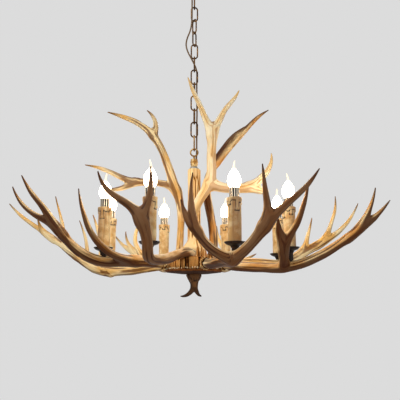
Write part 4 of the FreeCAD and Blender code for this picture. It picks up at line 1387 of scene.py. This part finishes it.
        plate = Turning(profile, 220, swell=ragged, step=2.0, sharp=70, still=24).build("hub_plate_rim")
        self.store_depth(plate, rim, 6.0)
        place_piece(plate, LAMP, material, "rim_resin", "hub_plate")

    def on_ring(self, tree: Pattern, low: float, high: float) -> Term:
        """Points round a ring of the tree's sizes, each shaken a little and at its own height."""
        shake = 1.2 * MM
        jitter = tree.random((-shake, -shake, low * MM), (shake, shake, high * MM), "Place seed")
        return tree.add("GeometryNodeSetPosition", {}, {0: tree.ring("Count"), "Offset": jitter})

    def slats(self, name: str, material: Material, radius: float, count: int,
              heights: tuple[float, float], lengths: tuple[float, float], seed: int) -> None:
        """Upright slats of bark stood round a drum, through a Geometry Nodes tree.

        Args:
            name: The piece's name.
            material: The bark.
            radius: Of the ring that they stand on.
            count: How many there are.
            heights: Range of their middles.
            lengths: Range of their length, in slat radii.
            seed: Picks their sizes and places.
        """
        tree = Pattern(name, {"Ring radius": radius * MM, "Count": count, "Slat radius": 2.9 * MM,
                              "Seed": seed, "Place seed": seed + 3})
        sphere = {"Segments": 10, "Rings": 12, "Radius": "Slat radius"}
        slat = tree.add("GeometryNodeMeshUVSphere", {}, sphere)
        scale = tree.random((0.5, 0.6, lengths[0]), (1.15, 1.2, lengths[1]))
        points = self.on_ring(tree, *heights)
        tree.end(tree.copies(slat, points, Rotation=tree.outward(), Scale=scale), material)
        piece = tree.make(name, bpy.data.meshes.new(name + "_source"))
        # The slats' sides towards the drum count as hollow: painted shade between the slats and the drum
        self.store_depth(piece, radius + 3.5, 5.5)
        place_piece(piece, LAMP, material, "hub_resin")

    def beads(self) -> None:
        """The row of uneven beads where the drum meets the rim, through a Geometry Nodes tree."""
        material = CarvedResin("bead_tips", "fbe9bf", "c08c50", "4a2c16", (300.0, 300.0, 300.0)).material()
        tree = Pattern("rim_beads", {"Ring radius": (self.plate_radius - 3.6) * MM, "Count": 78,
                                     "Bead radius": 2.6 * MM, "Seed": 3, "Place seed": 9})
        bead = tree.add("GeometryNodeMeshIcoSphere", {}, {"Radius": "Bead radius", "Subdivisions": 2})
        scale = tree.random((0.5, 0.5, 0.5), (1.25, 1.1, 1.3))
        points = self.on_ring(tree, self.hub_bottom + 0.8, self.hub_bottom + 3.2)
        tree.end(tree.copies(bead, points, Scale=scale), material)
        piece = tree.make("rim_beads", bpy.data.meshes.new("rim_beads_source"))
        self.store_depth(piece, self.plate_radius, 6.0)
        place_piece(piece, LAMP, material, "rim_resin")

    def finial(self) -> None:
        """The bell under the hub that ends in two spreading tines, cast in one."""
        top, tip = self.finial_top, self.finial_tip
        limbs = (
            ((0, 0, top + 6, 19), (0, 0, top - 4, 20.5), (0, 0, top - 13, 16.5), (0, 0, top - 22, 10.5),
             (0, 0, top - 27, 9)),
            ((-1, 0, top - 20, 7.5), (-2, 0, top - 34, 7), (-10, 1, top - 48, 6), (-23, 2, tip + 3.4, 4),
             (-36.5, 3, tip + 2, 1.3)),
            ((1, 0, top - 20, 7.5), (3, 0, top - 34, 6.5), (8, -1, top - 47, 5.5), (14, -2, tip + 5, 3.6),
             (21, -3, tip + 2, 1.3)))
        # The finial's dark paint also carries painted shade on its side away from the candles
        finish = CastAntler("finial_brown", "8a5c34", "5c3a1e", "2b180c", "24140a", "3a2212", "6a4424",
                            (-0.2, 0.9), 0.6, 0.6).material()
        Casting("finial", limbs, finish, "rim_resin", melt=2.2, groove=1.2, voxel=1.2, cut_top=top + 1.5,
                seed=71).build()


# ---- candles
@dataclass
class Candle:
    """One candle light: dish, wax-covered sleeve, bright collar and flame-shaped lamp.

    Attributes:
        number: 1 to 8.
        bearing: Degrees from +X towards +Y.
        ring: How far it stands from the lamp's axis.
        beam_top: Height of the antler's beam under it.
        dish_top: Height of the floor inside the saucer.
        dish_radius: Of the saucer at its rolled edge.
        cup_radius: Of the stub under the saucer.
        sleeve_radius: Of the sleeve under its wax.
        sleeve_wall: Thickness of the sleeve.
        sleeve_top: Height of the sleeve's rim.
        lip: Thickness of the wax at the rim.
        lip_depth: How far down the unbroken wax reaches.
        waist: Height at which the glass meets its collar.
        tip: Height of the glass's point.
        flutes: How many the collar has.
    """

    number: int
    bearing: float
    ring: float
    beam_top: float
    dish_top: float = -820.0
    dish_radius: float = 24.0
    cup_radius: float = 8.0
    sleeve_radius: float = 15.7
    sleeve_wall: float = 1.8
    sleeve_top: float = -716.0
    lip: float = 1.9
    lip_depth: float = 7.0
    waist: float = -690.0
    tip: float = -627.0
    flutes: int = 12

    @property
    def centre(self) -> tuple[float, float]:
        """Where the candle stands."""
        turn = math.radians(self.bearing)
        return self.ring * math.cos(turn), self.ring * math.sin(turn)

    def local(self, piece: Piece) -> Array:
        """The piece's corners in millimetres from the candle's own axis."""
        return mesh_corners(piece.data) - np.array([*self.centre, 0.0])

    def drips(self) -> list[tuple[float, float, float, float]]:
        """Angle, half width, length and thickness of each run of wax, different on each candle."""
        random = np.random.default_rng(100 + self.number)
        runs = []
        for turn, wide, length, thick in ((20, 3.2, 22, 2.4), (75, 2.2, 11, 1.4), (150, 3.6, 27, 2.8),
                                          (235, 2.6, 15, 1.9), (300, 2.6, 18, 1.6)):
            runs.append((math.radians(turn + 47 * self.number), wide + random.uniform(-0.3, 0.7),
                         length + random.uniform(-4, 8), thick + random.uniform(-0.2, 0.2)))
        for _ in range(7):
            runs.append((random.uniform(0, 2 * math.pi), random.uniform(1.4, 2.2), random.uniform(6, 13),
                         random.uniform(0.8, 1.2)))
        return runs

    def wax(self, turn: Array, height: Array, spread: float = 0.0) -> Array:
        """Thickness of the wax that ran down the outside.

        Args:
            turn: Angles round the candle.
            height: Heights.
            spread: How far beyond its own edge the wax is taken to reach.

        Returns:
            The thickness at each place.
        """
        depth = self.sleeve_top - height
        waves = 2.2 * np.sin(3 * turn + self.number), 1.2 * np.sin(7 * turn + 2 * self.number)
        edge = self.lip_depth + spread + waves[0] + waves[1]
        thick = self.lip * (1 - smooth_step(0, 1.6, depth - edge))
        for angle, wide, length, full in self.drips():
            wide, length = wide + spread, length + spread
            across = np.angle(np.exp(1j * (turn - angle))) * self.sleeve_radius
            swell = wide * (0.75 + 0.45 * smooth_step(length - 8, length - 2, depth))
            body = np.sqrt(np.clip(1 - (across / swell) ** 2, 0, 1))
            end = np.sqrt(np.clip(1 - np.clip((depth - length + 3) / 3, 0, 1) ** 2, 0, 1))
            bead = 1 + 0.35 * smooth_step(length - 9, length - 2, depth)
            thick = np.maximum(thick, full * body * end * bead)
        return thick

    def build(self, wax: Material, dish: Material, glass: Material, silver: Material) -> None:
        """Builds and places the candle's pieces.

        Args:
            wax: The sleeve's material.
            dish: The dish's material.
            glass: The lit glass.
            silver: The bright collar.
        """
        self.sleeve(wax)
        self.dish(dish)
        self.bulb(glass)
        self.collar(silver)

    def sleeve(self, material: Material) -> None:
        """The hollow sleeve with a thick lip and runs of wax down its outside."""
        out, inside = self.sleeve_radius, self.sleeve_radius - self.sleeve_wall
        top, low = self.sleeve_top, self.dish_top
        outer = refine([(out, low), (out, top - 1.2)], 1.5).tolist()
        rim = [(out - 0.3, top - 0.4), (out - 0.9, top), (inside + 0.3, top - 0.1), (inside, top - 0.8)]
        bore = [(inside, top - 12), (inside, low)]

        def run_down(turn: Array, height: Array) -> Array:
            """The wax's thickness and a slight unevenness under it."""
            return self.wax(turn, height) + smooth_noise(around(turn, height, 2, 0.06), self.number) * 0.25

        node = "candle_sleeve_%d" % self.number
        piece = Turning(outer + rim + bore, 120, self.centre, run_down, loop=True, step=200.0, sharp=60,
                        still=inside + 0.5).build(node + "_wax")
        local = self.local(piece)
        height = local[:, 2]
        outside = np.hypot(local[:, 0], local[:, 1]) > inside + 0.5
        turn = np.arctan2(local[:, 1], local[:, 0])
        store(piece.data, "drip", self.wax(turn, height) * outside)
        # Painted shade: 1 on the side turned away from the lamp's axis, -1 on the side towards it
        store(piece.data, "shade", np.cos(turn - math.radians(self.bearing)))
        # Painted shade round the foot of each run: where the wax, widened, reaches
        store(piece.data, "outline", smooth_step(0.05, 0.7, self.wax(turn, height, 2.4)) * outside)
        place_piece(piece, LAMP, material, "candle_wax", node)

    def dish(self, material: Material) -> None:
        """The spun saucer with a rolled rim, on its turned cup and stub."""
        top, out, cup, seat = self.dish_top, self.dish_radius, self.cup_radius, self.beam_top - 4
        profile = [(0, top), (15, top), (out - 4, top + 0.1), (out - 1.6, top + 0.9), (out - 0.6, top + 2.0),
                   (out + 0.1, top + 2.0), (out + 0.6, top + 1.2), (out + 0.2, top + 0.1), (out - 4, top - 4),
                   (11, top - 7.5), (10.2, top - 8.6), (10.4, top - 9.6), (cup + 1.5, top - 10.6),
                   (cup - 0.2, top - 13)]
        profile += [(cup - 0.2, seat), (0, seat)] if seat < top - 15 else [(0, top - 14)]

        def hammered(turn: Array, height: Array) -> Array:
            """The slight waves that spinning leaves."""
            return smooth_noise(around(turn, height, 5, 0.5), 80 + self.number) * 0.25

        saucer = Turning(profile, 72, self.centre, hammered, step=2.5, sharp=45)
        node = "drip_dish_%d" % self.number
        place_piece(saucer.build(node + "_spun"), LAMP, material, "dish_metal", node)

    def bulb(self, glass: Material) -> None:
        """The flame-shaped glass with a slender tip drawn out to one side."""
        low = self.waist
        side = spline_run([(11.6, 0, low), (14.6, 0, low + 6), (15.7, 0, low + 14), (14.8, 0, low + 22),
                           (11.2, 0, low + 31), (6.6, 0, low + 39), (3.4, 0, low + 45), (2.2, 0, low + 52),
                           (1.9, 0, low + 58), (0.9, 0, self.tip)], 1.6)
        profile = [(0, low - 3), (11.2, low - 3)] + [(row[0], row[2]) for row in side] + [(0, self.tip + 0.6)]
        piece = Turning(profile, 48, self.centre, sharp=80).build("bulb_%d_glass" % self.number)
        local = self.local(piece)
        share = np.clip((local[:, 2] - low - 34) / 29, 0, 1)
        lean = share ** 2 * 3.0 - np.sin(share * math.pi) * 1.2
        local[:, 0] += lean * math.cos(self.number * 2.4)
        local[:, 1] += lean * math.sin(self.number * 2.4)
        piece.data.vertices.foreach_set("co", ((local + [*self.centre, 0]) * MM).ravel())
        store(piece.data, "glow", 1 - smooth_step(low + 33, low + 44, local[:, 2]))
        place_piece(piece, LAMP, glass, "bulb_glass", "bulb_%d" % self.number)

    def collar(self, silver: Material) -> None:
        """The crimped skirt under the glass: bright flutes round a thin cup, through Geometry Nodes."""
        top, low = self.waist, self.sleeve_top - 9
        cup = Turning([(0, low), (7, low), (9.6, low + 6), (10.2, self.sleeve_top), (11.0, top - 1.6),
                       (12.0, top - 1.2), (12.2, top + 0.2), (11.2, top + 0.6), (0, top - 2)],
                      48, self.centre, step=4, sharp=50).build("cup_source")
        pitch = 2 * math.pi * 11.2 / self.flutes
        upper, lower = top - 2, self.sleeve_top - 3
        tree = Pattern("collar_flutes_%d" % self.number, {
            "Flutes": self.flutes, "Flute radius": 0.5 * (pitch - 2.6) * MM, "Ring radius": 10.9 * MM})
        flute = tree.add("GeometryNodeMeshCylinder", {}, {
            "Vertices": 10, "Radius": "Flute radius", "Depth": (upper - lower) * MM})
        flat = tree.add("GeometryNodeTransform", {}, {0: flute, "Scale": (0.6, 1.0, 1.0)})
        stood = tree.copies(flat, tree.ring("Flutes"), Rotation=tree.outward())
        lifted = tree.add("GeometryNodeTransform", {}, {
            0: stood, "Translation": tuple(part * MM for part in (*self.centre, 0.5 * (upper + lower)))})
        tree.end(tree.join(tree.entry, lifted), silver)
        piece = tree.make("bulb_%d_collar" % self.number, cup.data)
        bpy.data.objects.remove(cup)
        # 1 out on the flutes, 0 behind them where the shade is painted black
        store(piece.data, "rub", smooth_step(10.9, 12.0, np.hypot(*self.local(piece)[:, :2].T)))
        piece.data.set_sharp_from_angle(angle=math.radians(50))
        place_piece(piece, LAMP, silver, "bulb_glass")


@dataclass
class CandleRing:
    """The eight candle lights.

    Attributes:
        stands: Bearing, distance from the axis and height of the beam under each candle.
    """

    stands: Sequence[tuple[float, float, float]] = (
        (-22.5, 263, -856), (22.5, 264, -836), (-67.5, 250, -846), (-112.5, 257, -845),
        (-157.5, 247, -843), (157.5, 266, -856), (112.5, 257, -842), (67.5, 257, -842))

    def build(self) -> None:
        """Builds each candle with shared materials."""
        wax = CandleWax("candle_wax", "fbe0a8", "dcae6a", "7c4414", "30160a").material()
        dish = AgedMetal("dish_dark", "1d120b", "4a3020", 0.55, 0.42, 0.5).material()
        glass = LitGlass("bulb_lit", "ffe2bd", "e6d6b8", 26.0).material()
        # 0c0804 is the painted shade between the flutes
        silver = FlutedSteel("collar_silver", "0c0804", "f2e6d2").material()
        for number, stand in enumerate(self.stands, start=1):
            Candle(number, *stand).build(wax, dish, glass, silver)


# ---- chain and cord
@dataclass
class Chain:
    """The chain's links; the last is on its own body, and so is the first.

    Attributes:
        top: Height of the bearing that the first link hangs from.
        pitch: From one bearing to the next.
        wire: Radius of the wire.
        bend: Radius of the wire's middle line round each end.
        slack: Play left at each bearing.
        turns: How far each link is turned about the chain, in degrees.
    """

    top: float = -61.5
    pitch: float = 39.5
    wire: float = 2.1
    bend: float = 9.0
    slack: float = 0.15
    turns: Sequence[float] = (90, 8, 125, 60, 175, 92, 5, 95, 5, 95, 0, 90)

    def build(self) -> None:
        """Makes the links of each body through one tree."""
        bronze = AgedMetal("chain_bronze", "3a220c", "a87838", 0.8, 0.38, 0.8).material()
        gilt = AgedMetal("chain_gilt", "6a4416", "ecc47c", 0.7, 0.34, 1.0).material()
        tree = self.links(bronze)
        last = len(self.turns) - 1
        for name, body, numbers, metal in (("top_link", "top_link", [0], bronze),
                                           ("chain_links", "chain", range(1, last), bronze),
                                           ("bottom_link", "bottom_link", [last], gilt)):
            source = bpy.data.meshes.new(name + "_points")
            places = [(0, 0, (self.top - self.pitch * (number + 0.5)) * MM) for number in numbers]
            source.from_pydata(places, [], [])
            turns = [math.radians(self.turns[number]) for number in numbers]
            source.attributes.new("turn", "FLOAT", "POINT").data.foreach_set("value", turns)
            place_piece(tree.make(name + "_wire", source), body, metal, "chain_bronze", name)

    def links(self, metal: Material) -> Pattern:
        """The tree that hangs a welded link of bent wire on every point, turned by the point's own angle."""
        tree = Pattern("chain_links", {
            "Wire radius": self.wire * MM, "Bend radius": self.bend * MM, "Sides": 14,
            "Length": (self.pitch + 2 * self.wire + 2 * self.slack) * MM})
        bend = tree.size("Bend radius")
        outline = tree.add("GeometryNodeCurvePrimitiveQuadrilateral", {}, {
            "Width": bend * 2.0, "Height": "Length"})
        bent = tree.add("GeometryNodeFilletCurve", {"mode": "POLY"}, {
            0: outline, "Count": 14, "Radius": bend * 0.9995, "Limit Radius": True})
        section = tree.circle("Sides", "Wire radius")
        link = tree.add("GeometryNodeCurveToMesh", {}, {0: bent, 1: section, "Scale": 1.0})
        upright = tree.add("GeometryNodeTransform", {}, {0: link, "Rotation": (math.pi / 2, 0.0, 0.0)})
        weld = tree.add("GeometryNodeMeshUVSphere", {}, {"Segments": 14, "Rings": 8, "Radius": "Wire radius"})
        bead = tree.add("GeometryNodeTransform", {}, {
            0: weld, "Translation": (self.bend * MM, 0.0, 0.0), "Scale": (1.12, 1.12, 0.7)})
        turn = tree.add("GeometryNodeInputNamedAttribute", {"data_type": "FLOAT"}, {"Name": "turn"})
        euler = tree.add("ShaderNodeCombineXYZ", {}, {2: turn})
        tree.end(tree.copies(tree.join(upright, bead), tree.entry, Rotation=euler), metal)
        return tree


@dataclass
class Cord:
    """The lamp's cord, in the five runs that its frame nodes have.

    Attributes:
        radius: Of the braid.
        sides: Corners round the cord.
        routes: Points that each run's middle line follows.
        bends: For a run across a joint, its two bodies and the heights between which it crosses; only the
            run's name is used, and such a run rides on no body.
    """

    radius: float = 2.2
    sides: int = 14
    routes: dict[str, Sequence[Point]] = field(default_factory=lambda: {
        "cord_ceiling": ((0, 0, -14), (0, 0, -42), (-7, -7, -60), (-7, -7, -81)),
        "cord_upper": ((-7, -7, -81), (-7, -7, -100), (-7, -7, -120)),
        "cord_long": ((-7, -7, -120), (-7, -7, -146), (-11, -8, -176), (-22, -7, -202), (-25, -5, -222),
                      (-19, -6, -244), (-8, -5, -264), (8, 5, -294), (7, 8, -324), (7, 7, -370), (8, 7, -420),
                      (7, 7, -456), (7, 7, -476)),
        "cord_lower": ((7, 7, -476), (7, 7, -496), (7, 7, -516)),
        "cord_stem": ((7, 7, -516), (7, 7, -538), (6.2, 4.6, -562), (7.2, 4.2, -600), (7.2, 4.4, -720),
                      (7.2, 4.2, -834)),
    })
    bends: dict[str, tuple[str, str, float, float]] = field(default_factory=lambda: {
        "cord_ceiling": ("ceiling_mount", "top_link", -44, -80),
        "cord_upper": ("top_link", "chain", -84, -119),
        "cord_lower": ("chain", "bottom_link", -478, -515),
        "cord_stem": ("bottom_link", "lamp", -518, -556),
    })

    def line(self, name: str) -> Array:
        """Points along a route's smooth spline."""
        curve = bpy.data.curves.new(name + "_route", "CURVE")
        curve.dimensions = "3D"
        curve.resolution_u = 12
        spline = curve.splines.new("NURBS")
        route = self.routes[name]
        spline.points.add(len(route) - 1)
        for point, place in zip(spline.points, route):
            point.co = (*[value * MM for value in place], 1.0)
        spline.order_u = 3
        spline.use_endpoint_u = True
        carrier = bpy.data.objects.new(name + "_route", curve)
        bpy.context.scene.collection.objects.link(carrier)
        graph = bpy.context.evaluated_depsgraph_get()
        points = mesh_corners(bpy.data.meshes.new_from_object(carrier.evaluated_get(graph), depsgraph=graph))
        bpy.data.objects.remove(carrier)
        return points

    def sweep(self, name: str) -> Piece:
        """A tube along a route, closed at both ends, with a lengthwise map for its braid."""
        points = spline_run(self.line(name), 1.5)
        centre, sides, rows = points[:, :3], self.sides, len(points)
        tangent = np.gradient(centre, axis=0)
        tangent /= np.linalg.norm(tangent, axis=1)[:, None]
        side = steady(tangent, np.array([1.0, 0, 0]))
        other = np.cross(tangent, side)
        turn = np.linspace(0, 2 * math.pi, sides, endpoint=False)[None, :, None]
        ring = side[:, None, :] * np.cos(turn) + other[:, None, :] * np.sin(turn)
        corners = centre[:, None, :] + self.radius * ring
        mesh = bpy.data.meshes.new(name + "_braid")
        caps = [tuple(reversed(range(sides))), tuple(range((rows - 1) * sides, rows * sides))]
        mesh.from_pydata((corners.reshape(-1, 3) * MM).tolist(), [], ring_faces(rows, sides, False) + caps)
        layer = mesh.uv_layers.new(name="weave")
        for face in mesh.polygons:
            wraps = len(face.loop_indices) == 4 and face.vertices[1] % sides == 0
            for loop in face.loop_indices:
                vertex = mesh.loops[loop].vertex_index
                column = vertex % sides or (sides if wraps else 0)
                layer.data[loop].uv = (column / sides, points[vertex // sides, -1] * MM)
        outwards(mesh)
        mesh.shade_smooth()
        return new_piece(name + "_braid", mesh)

    def build(self) -> None:
        """Makes each run; a run across a joint is left on no body, the others ride on the chain."""
        # 8a6530 is painted highlight on the strands, 3c2510 painted shade in the gaps between them
        braid = WovenCord("cord_braid", "8a6530", "3c2510").material()
        for name in self.routes:
            piece = self.sweep(name)
            piece.data.materials.append(braid)
            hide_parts(name)
            if name in self.bends:
                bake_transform(piece)
            else:
                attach(piece, "chain")
            LOG.info("%s: %d faces", piece.name, len(piece.data.polygons))


# ---- ceiling end
@dataclass
class CeilingEnd:
    """The canopy against the ceiling, and the frame's own small hardware in better finishes."""

    radius: float = 62.0
    height: float = 28.0
    sheet: float = 1.6

    def build(self) -> None:
        """Builds the canopy and dresses the frame's own nodes."""
        bronze = AgedMetal("canopy_bronze", "2a1a0f", "85602f", 0.8, 0.40, 0.6).material()
        loop = AgedMetal("loop_bronze", "3a220c", "a87838", 0.8, 0.38, 0.8).material()
        gilt = AgedMetal("eye_gilt", "6a4416", "ecc47c", 0.7, 0.34, 1.0).material()
        steel = AgedMetal("plated_steel", "8e8c88", "c9c8c4", 0.95, 0.30, 0.9).material()
        pale = MouldedPlastic("connector_moulded", "e6e0d2", "cfc8b8").material()
        black = MouldedPlastic("holder_moulded", "2a2725", "1b1918").material()
        self.canopy(bronze)
        for material, nodes in (
                (bronze, ["lock_ring"]), (loop, ["hang_loop"]), (gilt, ["eye_bolt"]),
                (steel, ["ceiling_bracket", "nipple_nut", "tie_rod", "rod_nut", "antler_bolts"]),
                (pale, ["wire_connector"]), (black, ["lamp_holders"])):
            for node in nodes:
                self.dress(node, material)

    def canopy(self, material: Material) -> None:
        """The spun cover: a rolled rim, a stepped bell and turned rings round its crown."""
        out, deep, wall = self.radius, self.height, self.sheet
        outer = [(out - 0.8, 0), (out, -0.8), (out, -3.6), (out - 0.9, -4.6), (out - 0.7, -5.6),
                 (out - 2.2, -8), (out - 6, -12), (out - 12, -16.5), (out - 20, -21), (30, -23.6),
                 (22, -25.6), (19.6, -26.0), (18.4, -26.9), (16, -27.0), (14.6, -26.7), (12, -deep)]
        inner = [(5.2, -deep), (5.2, -deep + wall), (12, -deep + wall), (19.5, -26 + wall),
                 (out - 20.6, -21 + wall), (out - 7.2, -12 + wall), (out - wall, -5), (out - wall, 0)]
        piece = Turning(outer + inner, 120, loop=True, step=3.0, sharp=50).build("canopy_spun")
        place_piece(piece, "ceiling_mount", material, "canopy_bronze", "canopy")

    @staticmethod
    def dress(node: str, material: Material) -> None:
        """Gives a frame node its material and reports it."""
        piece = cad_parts[node]
        piece.data.materials.clear()
        piece.data.materials.append(material)
        LOG.info("%s: frame node dressed", node)


# ---- studio
@dataclass
class Studio:
    """A plain pale floor, soft lights and the camera.

    Attributes:
        backdrop: Colour of the floor and the surround.
        floor: Height of the floor.
        floor_radius: How far the floor reaches.
        across: Where the lamp's axis stands in the picture, in its pixels.
        focal: Focal length in picture pixels.
        frame_px: Width of the picture.
        stand_off: How far the camera stands in front of the axis.
        height: Height of the camera.
        pitch: How far the camera looks up, in radians.
        surround: Strength of the light from all around.
        aim: Height that the lamps are aimed at.
        lamps: Place, power and size of each lamp.
    """

    backdrop: str = "dcdcdc"
    floor: float = -2.3
    floor_radius: float = 4.0
    across: float = 194.0
    focal: float = 520.0
    frame_px: float = 400.0
    stand_off: float = 1.412
    height: float = -0.94
    pitch: float = 0.183
    surround: float = 0.5
    aim: float = -0.72
    lamps: dict[str, tuple[Point, float, float]] = field(default_factory=lambda: {
        "key": ((-1.5, -1.6, 1.5), 38.0, 1.4),
        "fill": ((2.0, -2.2, -0.4), 10.0, 1.8),
        "back": ((0.6, 2.4, 0.9), 30.0, 1.2),
    })

    def build(self) -> None:
        """Sets up the view, the lights, the floor and the world."""
        scene = bpy.context.scene
        scene.view_settings.view_transform = "Standard"
        self.camera(scene)
        self.world(scene)
        self.ground()
        for name, (place, power, size) in self.lamps.items():
            self.light(name, place, power, size)

    def camera(self, scene: bpy.types.Scene) -> None:
        """A camera at the photograph's place and pitch."""
        data = bpy.data.cameras.new("view")
        data.sensor_width = 36.0
        data.lens = self.focal / self.frame_px * data.sensor_width
        camera = bpy.data.objects.new("view", data)
        aside = (self.frame_px / 2 - self.across) / self.focal * self.stand_off
        camera.location = (aside, -self.stand_off, self.height)
        camera.rotation_euler = (math.pi / 2 + self.pitch, 0, 0)
        scene.collection.objects.link(camera)
        scene.camera = camera

    def world(self, scene: bpy.types.Scene) -> None:
        """A pale even surround that is plain grey where it is seen directly or mirrored."""
        world = bpy.data.worlds.new("studio")
        world.use_nodes = True
        graph = Graph(world.node_tree)
        graph.tree.nodes.clear()
        path = graph.add("ShaderNodeLightPath", out="Is Camera Ray")
        seen = path
        for ray in ("Is Glossy Ray", "Is Transmission Ray"):
            seen = seen.math("MAXIMUM", path.part(ray))
        soft = graph.add("ShaderNodeBackground", {}, {0: tint("f4f2ee"), 1: self.surround})
        plain = graph.add("ShaderNodeBackground", {}, {0: tint(self.backdrop), 1: 1.0})
        both = graph.add("ShaderNodeMixShader", {}, {0: seen, 1: soft, 2: plain})
        graph.add("ShaderNodeOutputWorld", {}, {0: both})
        scene.world = world

    def ground(self) -> None:
        """A wide round floor under the lamp, the same pale grey as the surround."""
        shader = Shader("floor_plain")
        path = shader.add("ShaderNodeLightPath", out="Is Camera Ray")
        seen = path.math("MAXIMUM", path.part("Is Glossy Ray"))
        paint = shader.add("ShaderNodeBsdfDiffuse", {}, {0: tint(self.backdrop)})
        plain = shader.add("ShaderNodeEmission", {}, {0: tint(self.backdrop), 1: 1.0})
        both = shader.add("ShaderNodeMixShader", {}, {0: seen * 0.7, 1: paint, 2: plain})
        shader.add("ShaderNodeOutputMaterial", {}, {0: both})
        top, wide = self.floor / MM, self.floor_radius / MM
        floor = Turning([(0, top), (wide, top), (wide, top - 10), (0, top - 10)], 96).build("studio_floor")
        floor.data.materials.append(shader.material)

    def light(self, name: str, place: Point, power: float, size: float) -> None:
        """A soft square lamp aimed at the chandelier's middle."""
        data = bpy.data.lights.new(name, "AREA")
        data.energy = power
        data.size = size
        lamp = bpy.data.objects.new(name, data)
        lamp.location = place
        aim = Vector((0, 0, self.aim)) - Vector(place)
        lamp.rotation_euler = aim.to_track_quat("-Z", "Y").to_euler()
        bpy.context.scene.collection.objects.link(lamp)


# ---- build
def main() -> None:
    """Builds the studio and each sub-assembly."""
    logging.basicConfig(level=logging.INFO, format="%(name)s %(message)s")
    Studio().build()
    CeilingEnd().build()
    Chain().build()
    Cord().build()
    Post().build()
    AntlerRack(ANTLERS).build()
    Burrs(ANTLERS).build()
    CandleRing().build()


if __name__ == "__main__":
    main()
